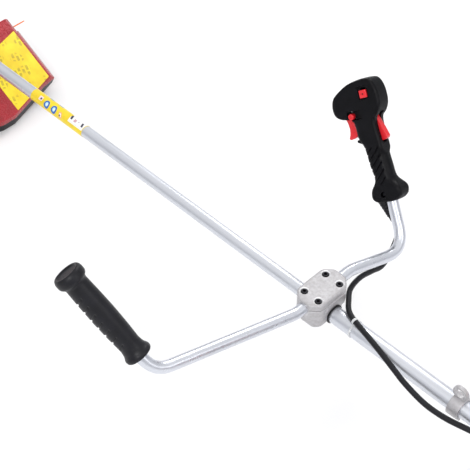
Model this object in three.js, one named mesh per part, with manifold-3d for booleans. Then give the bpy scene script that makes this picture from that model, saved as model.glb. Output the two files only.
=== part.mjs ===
// String trimmer with a bicycle handlebar and a two-stroke engine. Millimetres, +Z up.
// +X runs along the drive tube to the cutting head and +Y is the operator's left.
// The origin is the centre of the engine stand's bottom face, on the ground.
import * as THREE from 'three';
import { mergeVertices } from 'three/addons/utils/BufferGeometryUtils.js';
import Module from 'manifold-3d';

const wasm = await Module();
wasm.setup();

// Driving dimensions
const AXIS_Z = 152;                    // drive tube axis above the ground
const GAP = 0.3;                       // clearance between touching pieces
const TUBE_R = 11;                     // drive tube
const TUBE_BORE_R = 9.5;
const SLEEVE_R = 14;                   // thicker tube on the engine side
const SLEEVE_BORE_R = 11.4;
const BAR_R = 9.5;                     // handlebar tube
const BAR_BORE_R = 8;
const CLAMP_X = 560;                   // handlebar clamp
const BAR_RISE = 27;                   // handlebar above the drive tube axis
const CLAMP_TOP = 41;
const CLAMP_BOTTOM = -18;
const SCREW_DX = 14.4;
const SCREW_DY = 24;
const BAR_TILT = THREE.MathUtils.degToRad(40);
const HEAD_X = 1486;                   // where the shaft and output axes cross
const HEAD_TILT = THREE.MathUtils.degToRad(30);
const GUARD_TOP = -46;                 // below the crossing, along the output axis
const SHAFT_R = 4;
const CABLE_R = 4.5;
const CLUTCH_X = 84;                   // engine face of the clutch housing
const PINION_TEETH = 12;
const GEAR_TEETH = 18;

// Solids

// A closed mesh with shared corners and no slivers.
function weld(geometry) {
  const bare = geometry.index ? geometry.toNonIndexed() : geometry.clone();
  bare.deleteAttribute('normal');
  bare.deleteAttribute('uv');
  const merged = mergeVertices(bare, 1e-4);
  const index = merged.index.array;
  const kept = [];
  for (let i = 0; i < index.length; i += 3) {
    const [a, b, c] = [index[i], index[i + 1], index[i + 2]];
    if (a !== b && b !== c && c !== a) kept.push(a, b, c);
  }
  merged.setIndex(kept);
  return merged;
}

function solidOf(geometry) {
  const closed = weld(geometry);
  return new wasm.Manifold(new wasm.Mesh({
    numProp: 3,
    vertProperties: new Float32Array(closed.attributes.position.array),
    triVerts: new Uint32Array(closed.index.array),
  }));
}

function geometryOf(solid) {
  const mesh = solid.getMesh();
  const geometry = new THREE.BufferGeometry();
  geometry.setAttribute('position', new THREE.BufferAttribute(new Float32Array(mesh.vertProperties), 3));
  geometry.setIndex(new THREE.BufferAttribute(new Uint32Array(mesh.triVerts), 1));
  return geometry;
}

function join(first, ...others) {
  return geometryOf(others.reduce((whole, next) => whole.add(solidOf(next)), solidOf(first)));
}

function cut(base, ...tools) {
  return geometryOf(tools.reduce((whole, tool) => whole.subtract(solidOf(tool)), solidOf(base)));
}

function common(a, b) {
  return geometryOf(solidOf(a).intersect(solidOf(b)));
}

function box(x0, x1, y0, y1, z0, z1) {
  const geometry = new THREE.BoxGeometry(x1 - x0, y1 - y0, z1 - z0);
  return geometry.translate((x0 + x1) / 2, (y0 + y1) / 2, (z0 + z1) / 2);
}

// A cylinder from one end point to the other, with its own radius at each end.
function rod(from, to, r0, r1 = r0, sides = 16) {
  const [a, b] = [new THREE.Vector3(...from), new THREE.Vector3(...to)];
  const way = b.clone().sub(a);
  const geometry = new THREE.CylinderGeometry(r1, r0, way.length(), sides);
  const turn = new THREE.Quaternion().setFromUnitVectors(new THREE.Vector3(0, 1, 0), way.normalize());
  return geometry.applyQuaternion(turn).translate(...a.add(b).multiplyScalar(0.5).toArray());
}

// A turned piece about +Z from [radius, height] corners, listed either way round.
function lathe(corners, sides = 16) {
  const points = corners.map(([r, z]) => new THREE.Vector2(r, z));
  if (THREE.ShapeUtils.area(points) < 0) points.reverse();
  return new THREE.LatheGeometry(points, sides).rotateX(Math.PI / 2);
}

// A turned piece about the drive tube axis from [radius, x] corners.
function latheX(corners, sides = 20) {
  return lathe(corners, sides).rotateY(Math.PI / 2).translate(0, 0, AXIS_Z);
}

function ring(bore, radius, x0, x1, sides = 16) {
  return latheX([[bore, x0], [radius, x0], [radius, x1], [bore, x1], [bore, x0]], sides);
}

function outline(points) {
  return new THREE.Shape(points.map(([x, y]) => new THREE.Vector2(x, y)));
}

// A flat plate in XY between two heights.
function plate(points, z0, z1) {
  const options = { depth: z1 - z0, bevelEnabled: false };
  return new THREE.ExtrudeGeometry(outline(points), options).translate(0, 0, z0);
}

// A side profile in XZ, as thick as width, centred on y = 0.
function profile(points, width, bevel = 0) {
  const geometry = new THREE.ExtrudeGeometry(outline(points), {
    depth: width - 2 * bevel,
    bevelEnabled: bevel > 0,
    bevelThickness: bevel,
    bevelSize: bevel,
    bevelOffset: -bevel,
    bevelSegments: 1,
  });
  return geometry.translate(0, 0, bevel - width / 2).rotateX(Math.PI / 2);
}

function circle(radius, sides) {
  const shape = new THREE.Shape();
  for (let i = 0; i < sides; i += 1) {
    const a = (2 * Math.PI * i) / sides;
    if (i === 0) shape.moveTo(radius, 0);
    else shape.lineTo(radius * Math.cos(a), radius * Math.sin(a));
  }
  shape.closePath();
  return shape;
}

function sweep(path, radius, steps, sides, bore = 0) {
  const section = circle(radius, sides);
  if (bore > 0) section.holes.push(circle(bore, sides));
  return new THREE.ExtrudeGeometry(section, { steps, extrudePath: path, bevelEnabled: false });
}

// A path of straight runs with a bend of its own radius at each inner corner.
function bentPath(corners, radii) {
  const path = new THREE.CurvePath();
  let from = corners[0];
  corners.slice(1, -1).forEach((corner, i) => {
    const back = corners[i].clone().sub(corner).normalize();
    const ahead = corners[i + 2].clone().sub(corner).normalize();
    const setback = radii[i] / Math.tan(back.angleTo(ahead) / 2);
    const start = corner.clone().addScaledVector(back, setback);
    const end = corner.clone().addScaledVector(ahead, setback);
    path.add(new THREE.LineCurve3(from, start));
    path.add(new THREE.QuadraticBezierCurve3(start, corner, end));
    from = end;
  });
  path.add(new THREE.LineCurve3(from, corners[corners.length - 1]));
  return path;
}

// Materials

function material(color, roughness, metalness = 0) {
  return () => new THREE.MeshStandardMaterial({ color, roughness, metalness });
}

const silver = material(0xd4d8e0, 0.35, 0.9);
const castAlloy = material(0xb9bbbf, 0.6, 0.7);
const steel = material(0xa0a2a6, 0.35, 0.9);
const darkSteel = material(0x222226, 0.45, 0.7);
const blackPlastic = material(0x1c1c1f, 0.55);
const blackRubber = material(0x141416, 0.75);
const redPlastic = material(0xe02030, 0.4);
const darkRedPlastic = material(0xa80c1c, 0.4);
const yellowFilm = material(0xf4d820, 0.45);
const clearPlastic = material(0xeeeeee, 0.3);
const tankPlastic = material(0xe8e4d8, 0.4);
const lineNylon = material(0xff6a10, 0.5);

const group = new THREE.Group();
const handleGroup = new THREE.Group();
const gripGroup = new THREE.Group();
const headGroup = new THREE.Group();
group.add(handleGroup, gripGroup, headGroup);

function part(name, geometry, makeMaterial, parent = group) {
  const mesh = new THREE.Mesh(weld(geometry), makeMaterial());
  mesh.name = name;
  parent.add(mesh);
}

// Drive tube, sleeve and what runs inside them

part('drive_tube', ring(TUBE_BORE_R, TUBE_R, 172, HEAD_X - 38), silver);
part('sleeve_tube', ring(SLEEVE_BORE_R, SLEEVE_R, 172, CLAMP_X - 15), silver);
part('sleeve_bush', ring(SLEEVE_R + GAP, 16.4, CLAMP_X - 29.3, CLAMP_X - 26.3), blackRubber);
part('tube_label', ring(TUBE_R + 0.1, TUBE_R + 0.5, CLAMP_X + 562, CLAMP_X + 704), yellowFilm);
part('drive_shaft', rod([146, 0, AXIS_Z], [HEAD_X - 16.6, 0, AXIS_Z], SHAFT_R, SHAFT_R, 10), steel);
part('shaft_bush', ring(SHAFT_R + GAP, TUBE_BORE_R - GAP, 860, 900, 14), blackRubber);

// Handlebar clamp: three cast blocks and four socket screws

// The plan of a block: an oblong with its corners cut off
const blockPlan = (x, y, cutX, cutY) => [
  [-x, -cutY], [-cutX, -y], [cutX, -y], [x, -cutY], [x, cutY], [cutX, y], [-cutX, y], [-x, cutY],
];
const CLAMP_PLAN = blockPlan(26, 42, 12, 28);
const FOOT_PLAN = blockPlan(22, 34, 13, 25);
const FOOT_TOP = 4;
const barBore = rod([0, -60, BAR_RISE], [0, 60, BAR_RISE], BAR_R + GAP);
const tubeBores = [
  rod([-60, 0, 0], [-14.7, 0, 0], SLEEVE_R + GAP),
  rod([-20, 0, 0], [60, 0, 0], TUBE_R + GAP),
];
const screwPlaces = [[1, 1], [1, -1], [-1, 1], [-1, -1]].map(([i, j]) => [i * SCREW_DX, j * SCREW_DY]);
const screwBores = screwPlaces.map(([x, y]) => rod([x, y, -30], [x, y, 60], 3 + GAP, 3 + GAP, 12));
const screwSinks = screwPlaces.map(([x, y]) => rod([x, y, 35], [x, y, 60], 6, 6, 16));

function clampBlock(name, block, tools) {
  part(name, cut(block, ...tools, ...screwBores).translate(CLAMP_X, 0, AXIS_Z), castAlloy);
}

clampBlock('clamp_cap', plate(CLAMP_PLAN, BAR_RISE + 0.4, CLAMP_TOP), [barBore, ...screwSinks]);
clampBlock('clamp_middle', join(
  plate(CLAMP_PLAN, FOOT_TOP, BAR_RISE - 0.4), plate(FOOT_PLAN, 0.4, FOOT_TOP + 1),
), [barBore, ...tubeBores]);
clampBlock('clamp_base', plate(FOOT_PLAN, CLAMP_BOTTOM, -0.4), tubeBores);

screwPlaces.forEach(([x, y], i) => {
  const shank = rod([x, y, CLAMP_BOTTOM + 1], [x, y, 36], 3, 3, 12);
  const head = rod([x, y, 35 + GAP], [x, y, CLAMP_TOP - 0.4], 5, 5, 16);
  const socket = rod([x, y, CLAMP_TOP - 3.4], [x, y, CLAMP_TOP + 2], 2.9, 2.9, 6);
  part(`clamp_screw_${i + 1}`, cut(join(shank, head), socket).translate(CLAMP_X, 0, AXIS_Z), darkSteel);
});

// Handlebar: it lies in one plane that leans forward from the clamp.
// A place on it is [distance to the right, distance up the plane].

function onBar([right, up], radius = 0) {
  return new THREE.Vector3(
    CLAMP_X + up * Math.sin(BAR_TILT) + radius,
    -right,
    AXIS_Z + BAR_RISE + up * Math.cos(BAR_TILT),
  );
}

const LEFT_GRIP_FOOT = [-312.3, 98.7];
const LEFT_GRIP_WAY = [-0.204, 0.979];
const HANDLE_FOOT = [198.3, 44.1];
const HANDLE_WAY = [0.278, 0.961];
const GRIP_REACH = 152;                // bar inside the left grip
const HANDLE_REACH = 90;               // bar inside the control handle

function along([right, up], [wayRight, wayUp], distance) {
  return [right + wayRight * distance, up + wayUp * distance];
}

const barCorners = [
  along(LEFT_GRIP_FOOT, LEFT_GRIP_WAY, GRIP_REACH),
  [-305.4, 65.6],
  [-57.7, 0],
  [66.1, 0],
  [176.3, -32],
  along(HANDLE_FOOT, HANDLE_WAY, HANDLE_REACH),
].map((place) => onBar(place));
const barPath = bentPath(barCorners, [45, 60, 60, 40]);

// Frames of the two grips: X to the front, Y to the left and Z up the grip

function gripFrame(target, foot, way, twist) {
  const up = new THREE.Vector3(way[1] * Math.sin(BAR_TILT), -way[0], way[1] * Math.cos(BAR_TILT)).normalize();
  const front = new THREE.Vector3(1, 0, 0).addScaledVector(up, -up.x).normalize();
  const left = up.clone().cross(front);
  const turnedFront = front.clone().multiplyScalar(Math.cos(twist)).addScaledVector(left, Math.sin(twist));
  const turnedLeft = up.clone().cross(turnedFront);
  target.applyMatrix4(new THREE.Matrix4().makeBasis(turnedFront, turnedLeft, up));
  target.position.copy(onBar(foot));
  target.updateMatrixWorld(true);
}

gripFrame(gripGroup, LEFT_GRIP_FOOT, LEFT_GRIP_WAY, 0);
gripFrame(handleGroup, HANDLE_FOOT, HANDLE_WAY, THREE.MathUtils.degToRad(5));

part('left_grip', lathe([
  [0, 154], [0, 162], [20, 162], [22.6, 157], [22.6, 147], [17.4, 142], [18.4, 80], [16.4, 20], [21.3, 6],
  [19, 0], [BAR_R + 1, 0], [BAR_R + 1, 154], [0, 154],
]), blackRubber, gripGroup);

// Control handle: two half shells closed on the bar, with the controls between them

const HANDLE_OUTLINE = [
  [19, 4], [28, 12], [27, 24], [18, 40], [20.5, 68], [22, 91], [24, 101], [28, 108], [30, 116],
  [29.5, 130], [30.5, 140], [38, 145], [51, 147.5], [61, 155], [63, 168], [58, 182], [40, 194],
  [18, 203], [-8, 205], [-20, 200], [-27, 186], [-27, 160], [-20, 147], [-12, 139], [-12, 97],
  [-14, 62], [-16, 42], [-27, 24], [-27, 13], [-17, 4],
];
const HANDLE_CAVITY = [
  [-8, 99], [11, 99], [11, 143], [27, 153], [53, 158], [56, 166], [51, 179], [36, 189], [15, 198],
  [-7, 200], [-17, 195], [-22, 183], [-22, 162], [-17, 151], [-8, 143],
];
const TRIGGER_PIVOT = [28, 158];
const LEVER_PIVOT = [-5, 141.5];
const HANDLE_SCREW = [4, 17];
const BUTTON_PLACE = [30, 148.5];

function across([x, z], y0, y1, radius, sides = 16) {
  return rod([x, y0, z], [x, y1, z], radius, radius, sides);
}

// Throttle cable route, from the control handle to the carburettor
const cableStart = new THREE.Vector3(20, 0, 10).applyMatrix4(handleGroup.matrixWorld);
const cableSecond = new THREE.Vector3(14, -8, -25).applyMatrix4(handleGroup.matrixWorld);
const cableThird = new THREE.Vector3(10, -13, -46).applyMatrix4(handleGroup.matrixWorld);
const cableLead = cableSecond.clone().sub(cableStart).normalize();

function fromClamp(x, y, z) {
  return new THREE.Vector3(CLAMP_X + x, y, AXIS_Z + z);
}

const cablePath = new THREE.CatmullRomCurve3([
  cableStart,
  cableStart.clone().lerp(cableSecond, 0.5),
  cableSecond,
  cableThird,
  fromClamp(5, -184, -5),
  fromClamp(0, -165, -16),
  fromClamp(-7, -137, -16),
  fromClamp(-7.8, -110.5, -6),
  fromClamp(-9, -80, 4),
  fromClamp(-16, -50, 8),
  fromClamp(-32.8, -26.6, 13),
  fromClamp(-49, -9, 17.5),
  fromClamp(-66, 0.2, 20.2),
  fromClamp(-76.3, 3, 20.2),
  fromClamp(-121, 13, 17),
  fromClamp(-168, 23, 9),
  fromClamp(-190, 28, 6),
  fromClamp(-234, 33, 1),
  fromClamp(-270, 31, 0),
  fromClamp(-306, 24, 1),
  fromClamp(-328, 19.4, 1),
  fromClamp(-342, 22, 5),
  fromClamp(-360, 33, 16),
  fromClamp(-385, 47, 33),
  fromClamp(-415, 57, 50),
  fromClamp(-450, 60, 62),
  fromClamp(-488, 52, 62),
], false, 'centripetal');
part('throttle_cable', sweep(cablePath, CABLE_R, 72, 8), blackRubber);

const bootEnd = cableStart.clone().addScaledVector(cableLead, 32);
const bootBore = rod(
  cableStart.clone().addScaledVector(cableLead, -5).toArray(),
  bootEnd.clone().addScaledVector(cableLead, 5).toArray(), CABLE_R + 0.7, CABLE_R + 0.7, 16);
part('cable_boot', cut(rod(cableStart.toArray(), bootEnd.toArray(), 8, 5.8, 20), bootBore), blackRubber);

function handleShells() {
  const toHandle = handleGroup.matrixWorld.clone().invert();
  const socketFrom = cableStart.clone().addScaledVector(cableLead, -GAP).toArray();
  const socketTo = cableStart.clone().addScaledVector(cableLead, 40).toArray();
  const bootSocket = rod(socketFrom, socketTo, 8.5, 8.5, 20).applyMatrix4(toHandle);
  const fingerHook = profile([[14, 101], [27, 102], [34, 106], [33, 109.5], [14, 109.5]], 16);
  const body = join(profile(HANDLE_OUTLINE, 33, 5), fingerHook);
  const hollowed = cut(
    body,
    profile(HANDLE_CAVITY, 25),
    rod([0, 0, -10], [0, 0, 93], BAR_R + 0.7),
    box(20, 50.5, -6.6, 6.6, 110.5, 162),
    box(-40, -6, -5.7, 5.7, 98, 148),
    box(10, 36, 13.4, 30, 142, 157),
    across(BUTTON_PLACE, 6, 30, 5.6),
    across(HANDLE_SCREW, -30, 30, 2.4),
    across(HANDLE_SCREW, 12, 30, 4.6),
    box(-11, 5, 12.8, 30, 173, 192.3),
    box(-8, 2, 5, 30, 175.9, 190.3),
    bootSocket,
  );
  const leftHalf = box(-80, 80, 0.15, 40, -20, 240);
  const rightHalf = box(-80, 80, -40, -0.15, -20, 240);
  part('control_shell_left', common(hollowed, leftHalf), blackPlastic, handleGroup);
  part('control_shell_right', common(hollowed, rightHalf), blackPlastic, handleGroup);
}
handleShells();

const handleScrewHole = across(HANDLE_SCREW, -30, 30, 2.4).applyMatrix4(handleGroup.matrixWorld);
part('handlebar', cut(sweep(barPath, BAR_R, 28, 10, BAR_BORE_R), handleScrewHole), silver);

part('handle_screw', join(
  across(HANDLE_SCREW, -14, 13, 2, 12), across(HANDLE_SCREW, 12.4, 14.6, 4, 16),
), steel, handleGroup);

const TRIGGER_OUTLINE = [
  [22, 160], [25, 164], [32, 164], [44, 154], [48.5, 148], [45, 139], [44, 129], [46, 120], [49.5, 114],
  [47, 111.5], [36, 113.5], [31, 117], [30.5, 125], [33, 135], [32, 143], [25, 151],
];
part('throttle_trigger', cut(
  profile(TRIGGER_OUTLINE, 12), across(TRIGGER_PIVOT, -10, 10, 2.2, 12),
), redPlastic, handleGroup);

const LEVER_OUTLINE = [
  [-9, 143.5], [-6, 146], [-2, 145], [-1, 141], [-3, 104], [-7, 101], [-19, 103], [-22, 107], [-18, 120],
  [-13, 134],
];
part('lock_lever', cut(
  profile(LEVER_OUTLINE, 10.4), across(LEVER_PIVOT, -10, 10, 1.7, 12),
), redPlastic, handleGroup);

part('trigger_pin', across(TRIGGER_PIVOT, -12.1, 12.1, 2, 12), steel, handleGroup);
part('lever_pin', across(LEVER_PIVOT, -12.1, 12.1, 1.5, 12), steel, handleGroup);

part('stop_switch', join(
  box(-9.5, 3.5, 13.2, 17.6, 174.3, 186.8),
  box(-6.5, 0.5, 8, 14, 177.3, 184.8),
), redPlastic, handleGroup);
part('half_throttle_button', across(BUTTON_PLACE, 9.2, 15.6, 5, 16), redPlastic, handleGroup);

// Cable clips round the sleeve and the cable

// The point of the cable's route that is nearest to the plane X = x.
function cableAt(x) {
  const points = Array.from({ length: 401 }, (_, i) => cablePath.getPointAt(i / 400));
  const miss = (point) => Math.abs(point.x - x);
  return points.reduce((best, point) => (miss(point) < miss(best) ? point : best));
}

function cableClip(name, x, makeMaterial) {
  const { y, z } = cableAt(x);
  const sleeveBand = ring(SLEEVE_R - 1, SLEEVE_R + 1.8, x - 4, x + 4);
  const cableBand = rod([x - 4, y, z], [x + 4, y, z], 8.6);
  const sleeveBore = rod([x - 9, 0, AXIS_Z], [x + 9, 0, AXIS_Z], SLEEVE_R + GAP);
  const cableBore = rod([x - 9, y, z], [x + 9, y, z], 7);
  part(name, cut(join(sleeveBand, cableBand), sleeveBore, cableBore), makeMaterial);
}

cableClip('cable_clip_front', CLAMP_X - 70, clearPlastic);
cableClip('cable_clip_rear', CLAMP_X - 328, blackPlastic);

// Harness bracket on the sleeve

const HARNESS_X = 290;
part('harness_bracket', cut(
  join(
    ring(SLEEVE_R - 1, 19, HARNESS_X - 10, HARNESS_X + 10),
    rod([HARNESS_X, -3, AXIS_Z + 30], [HARNESS_X, 3, AXIS_Z + 30], 13),
    box(HARNESS_X - 10, HARNESS_X + 10, -3, 3, AXIS_Z + 15, AXIS_Z + 30),
  ),
  rod([HARNESS_X - 30, 0, AXIS_Z], [HARNESS_X + 30, 0, AXIS_Z], SLEEVE_R + GAP),
  rod([HARNESS_X, -9, AXIS_Z + 31], [HARNESS_X, 9, AXIS_Z + 31], 8),
), castAlloy);

// Cutting head, built about its own upright axis and leaned back as a whole

headGroup.position.set(HEAD_X, 0, AXIS_Z);
headGroup.rotation.y = -HEAD_TILT;
headGroup.updateMatrixWorld(true);

const backX = -Math.cos(HEAD_TILT);
const backZ = Math.sin(HEAD_TILT);
function upTube(distance) {
  return [backX * distance, 0, backZ * distance];
}

part('gear_housing', cut(
  join(
    lathe([
      [0, 20], [12, 20], [24, 13], [27, 6], [27, -32], [34, -38], [34, GUARD_TOP + GAP],
      [0, GUARD_TOP + GAP],
    ]),
    rod(upTube(6), upTube(74), 19, 15.5),
  ),
  rod(upTube(34), upTube(80), TUBE_R + GAP),
  rod(upTube(26), upTube(40), 6),
  rod(upTube(0), upTube(27), 15),
  lathe([[0, 13], [10, 13], [22.5, 5], [22.5, -18], [0, -18]]),
  rod([0, 0, -16], [0, 0, -60], 8, 8, 16),
), castAlloy, headGroup);

// A straight bevel gear about +Z with its cone's tip at the origin.
function bevelGear(teeth, cone, bore, phase, hub) {
  const [near, far] = [13, 20];
  const root = cone - 0.055;
  const tip = cone + 0.04;
  const body = lathe([
    [0, near * Math.cos(root)], [near * Math.sin(root), near * Math.cos(root)],
    [far * Math.sin(root), far * Math.cos(root)], [far * Math.sin(root), far * Math.cos(root) + 1.5],
    [hub[0], far * Math.cos(root) + 1.5], [hub[0], hub[1]], [0, hub[1]],
  ], teeth);
  let whole = solidOf(body);
  const spot = (distance, angle, turn) => [
    distance * Math.sin(angle) * Math.cos(turn),
    distance * Math.sin(angle) * Math.sin(turn),
    distance * Math.cos(angle),
  ];
  for (let i = 0; i < teeth; i += 1) {
    const turn = phase + (2 * Math.PI * i) / teeth;
    const [foot, crest] = [(Math.PI / teeth) * 0.42, (Math.PI / teeth) * 0.24];
    const corners = [near, far].flatMap((d) => [
      spot(d, root - 0.05, turn - foot), spot(d, root - 0.05, turn + foot),
      spot(d, tip, turn + crest), spot(d, tip, turn - crest),
    ]);
    const faces = [0, 1, 2, 0, 2, 3, 4, 6, 5, 4, 7, 6, 0, 4, 5, 0, 5, 1,
      1, 5, 6, 1, 6, 2, 2, 6, 7, 2, 7, 3, 3, 7, 4, 3, 4, 0];
    const tooth = new THREE.BufferGeometry();
    tooth.setAttribute('position', new THREE.Float32BufferAttribute(corners.flat(), 3));
    tooth.setIndex(faces);
    whole = whole.add(solidOf(tooth));
  }
  const gear = geometryOf(whole);
  return bore > 0 ? cut(gear, rod([0, 0, hub[1] - 6], [0, 0, hub[1] + 5], bore)) : gear;
}

const SHAFT_ANGLE = Math.PI / 2 + HEAD_TILT;
const PINION_CONE = Math.atan2(Math.sin(SHAFT_ANGLE), GEAR_TEETH / PINION_TEETH + Math.cos(SHAFT_ANGLE));
const GEAR_CONE = SHAFT_ANGLE - PINION_CONE;
part('drive_pinion',
  bevelGear(PINION_TEETH, PINION_CONE, SHAFT_R + GAP, Math.PI, [6, 22])
    .rotateZ(Math.PI / PINION_TEETH).rotateY(-Math.PI / 2).translate(HEAD_X, 0, AXIS_Z), steel);
part('output_gear', join(
  bevelGear(GEAR_TEETH, GEAR_CONE, 0, 0, [12, 12]).rotateX(Math.PI),
  rod([0, 0, -10], [0, 0, -60], 6, 6, 16),
), steel, headGroup);

// Line head: housing, spool, bump knob and one length of line through the spool

part('head_housing', cut(
  lathe([[0, -50], [16, -50], [30, -54], [52, -62], [57, -70], [57, -88], [0, -88]]),
  lathe([[0, -58], [26, -59], [48, -66], [53, -72], [53, -95], [0, -95]]),
  rod([0, 0, -40], [0, 0, -70], 6 + GAP, 6 + GAP, 16),
  rod([0, -70, -78], [0, 70, -78], 3.2, 3.2, 12),
), blackPlastic, headGroup);
part('line_spool', cut(
  lathe([[8, -66], [40, -69], [40, -72], [18, -73], [18, -86], [42, -87], [42, -90], [8, -90], [8, -66]]),
  box(-2.6, 2.6, -30, 30, -84.6, -75.4),
), blackPlastic, headGroup);
part('bump_knob', lathe([
  [0, -92], [24, -92], [47, -91], [48, -95], [34, -103], [24, -112], [12, -115], [0, -115],
]), blackPlastic, headGroup);
part('cutting_line', rod([0, -170, -78], [0, 170, -78], 1.3, 1.3, 8), lineNylon, headGroup);

// Guard: a faceted hood behind the line head, with a skirt that reaches the ground

const GUARD_WIDTH = 135;
const GUARD_REAR = 139;
const GUARD_TAIL = 172;
const guardPlan = (inset) => [
  [12, -GUARD_WIDTH + inset], [12, GUARD_WIDTH - inset], [-GUARD_REAR + inset, GUARD_WIDTH - inset],
  [-GUARD_TAIL + inset, 14], [-GUARD_TAIL + inset, -14], [-GUARD_REAR + inset, -GUARD_WIDTH + inset],
].reverse();
const tailHeight = -GUARD_TAIL * Math.sin(HEAD_TILT) + AXIS_Z;
const SKIRT_BOTTOM = -tailHeight / Math.cos(HEAD_TILT);
part('guard', cut(
  plate(guardPlan(0), SKIRT_BOTTOM, GUARD_TOP),
  plate(guardPlan(3.5), SKIRT_BOTTOM - 5, GUARD_TOP - 3),
  box(-20, 40, -150, 150, GUARD_TOP - 200, GUARD_TOP - 3),
  rod([0, 0, -60], [0, 0, -30], 17),
), darkRedPlastic, headGroup);
part('line_cutter', box(-100, -60, 124, 125.2, -76, -56), steel, headGroup);

// Engine, built about the crankshaft, which lies on the drive tube axis

part('clutch_housing', latheX([
  [58, CLUTCH_X], [66, CLUTCH_X], [66, 112], [52, 150], [24, 168], [20, 174], [20, 206],
  [SLEEVE_R + GAP, 206], [SLEEVE_R + GAP, 171], [9, 171], [9, 164], [22, 160], [43, 147], [43, 115],
  [58, 108], [58, CLUTCH_X],
]), castAlloy);
part('clutch_drum', latheX([
  [SHAFT_R + GAP, 142], [SHAFT_R + GAP, 162], [8, 162], [8, 146], [38, 144], [40, 142], [40, 117],
  [36.5, 117], [36.5, 140], [0, 140], [0, 142], [SHAFT_R + GAP, 142],
]), steel);

// Each shoe is half of a ring, held to the flywheel by a stud at one end.
const SHOE_STUD = [-22, 9];
const shoeStud = (side) => [side * SHOE_STUD[0], AXIS_Z + side * SHOE_STUD[1]];
[1, -1].forEach((side, i) => {
  const [y, z] = shoeStud(side);
  const [low, high] = side > 0 ? [AXIS_Z - 60, AXIS_Z + 2] : [AXIS_Z - 2, AXIS_Z + 60];
  const otherHalf = box(100, 150, -60, 60, low, high);
  const shoe = cut(ring(14, 35, 120, 136), otherHalf, rod([110, y, z], [145, y, z], 3.4, 3.4, 12));
  part(`clutch_shoe_${i + 1}`, shoe, darkSteel);
});

function flywheel() {
  const disc = latheX([[8.3, 92], [50, 92], [50, 96], [20, 98], [16, 106], [8.3, 106], [8.3, 92]]);
  const blades = Array.from({ length: 10 }, (_, i) => (
    box(95, 106, -1.2, 1.2, 24, 49).rotateX((2 * Math.PI * i) / 10).translate(0, 0, AXIS_Z)
  ));
  const studs = [1, -1].map((side) => {
    const [y, z] = shoeStud(side);
    return rod([97, y, z], [137, y, z], 3, 3, 12);
  });
  return join(disc, ...blades, ...studs);
}
part('flywheel', flywheel(), castAlloy);

const CRANK_THROW = 14;
part('crankshaft', join(
  latheX([[0, -14], [8, -14], [8, 31], [29, 31], [29, 38], [0, 38], [0, -14]]),
  latheX([[0, 51], [29, 51], [29, 58], [8, 58], [8, 112], [0, 112], [0, 51]]),
  rod([35, 0, AXIS_Z + CRANK_THROW], [54, 0, AXIS_Z + CRANK_THROW], 7, 7, 16),
), steel);

part('crankcase', cut(
  join(
    box(16, 78, -40, 40, AXIS_Z - 46, AXIS_Z + 40),
    latheX([[0, 76], [63, 76], [63, CLUTCH_X - GAP], [0, CLUTCH_X - GAP], [0, 76]]),
    latheX([[0, 6], [24, 6], [24, 20], [0, 20], [0, 6]]),
  ),
  latheX([[0, 26], [31, 26], [31, 63], [0, 63], [0, 26]]),
  latheX([[0, 0], [8.4, 0], [8.4, 90], [0, 90], [0, 0]]),
  latheX([[0, 79], [51, 79], [51, 90], [0, 90], [0, 79]]),
  rod([44.5, 0, AXIS_Z + 10], [44.5, 0, AXIS_Z + 60], 17),
), castAlloy);

const CYLINDER_FOOT = AXIS_Z + 40 + GAP;
const CYLINDER_TOP = CYLINDER_FOOT + 66;
part('cylinder', cut(
  join(
    box(22, 67, -24, 24, CYLINDER_FOOT, CYLINDER_TOP),
    ...Array.from({ length: 6 }, (_, i) => (
      box(14.5, 74.5, -32, 32, CYLINDER_FOOT + 12 + i * 9, CYLINDER_FOOT + 14.5 + i * 9)
    )),
  ),
  rod([44.5, 0, CYLINDER_FOOT - 9], [44.5, 0, CYLINDER_TOP - 12], 17),
  rod([44.5, 0, CYLINDER_TOP - 20], [44.5, 0, CYLINDER_TOP + 5], 5.4, 5.4, 16),
), castAlloy);
part('spark_plug', lathe([
  [0, -14], [5, -14], [5, 0.5], [8.5, 0.5], [8.5, 8], [4.5, 9], [4.5, 20], [0, 20],
], 16).translate(44.5, 0, CYLINDER_TOP), steel);
part('plug_boot', cut(
  join(
    rod([44.5, 0, CYLINDER_TOP + 9.4], [44.5, 0, CYLINDER_TOP + 28], 8.5, 8.5, 16),
    rod([44.5, 0, CYLINDER_TOP + 21], [20, 0, CYLINDER_TOP + 21], 5.5, 4.5, 12),
  ),
  rod([44.5, 0, CYLINDER_TOP], [44.5, 0, CYLINDER_TOP + 21], 4.9, 4.9, 16),
), blackRubber);

part('muffler', cut(
  join(
    profile([[14, 205], [20, 199], [68, 199], [74, 205], [74, 247], [68, 253], [20, 253], [14, 247]], 38, 4)
      .translate(0, -55, 0),
    box(34, 56, -40, -32.5, 214, 236),
  ),
  rod([45, -90, 240], [45, -60, 240], 6, 6, 16),
), steel);
part('carburettor', cut(
  join(
    box(28, 62, 32.5, 62, 200, 232),
    rod([45, 50, 225], [45, 50, 240], 9, 9, 16),
    rod([60, 52, AXIS_Z + 62], [69.5, 52, AXIS_Z + 62], 6, 6, 16),
  ),
  rod([45, 20, 216], [45, 70, 216], 9, 9, 20),
), castAlloy);
part('air_filter_cover', cut(
  profile([[8, 190], [16, 182], [70, 182], [80, 190], [80, 236], [68, 248], [20, 248], [8, 236]], 40, 7)
    .translate(0, 84, 0),
  box(12, 76, 50, 92, 190, 238),
), blackPlastic);
part('choke_lever', join(
  rod([20, 104.4, 226], [20, 108, 226], 7, 7, 16),
  box(17.5, 22.5, 105, 108, 206, 226),
), redPlastic);
part('primer_bulb', rod([22, 47, 206], [14, 47, 206], 9, 6.5, 20), clearPlastic);

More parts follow.
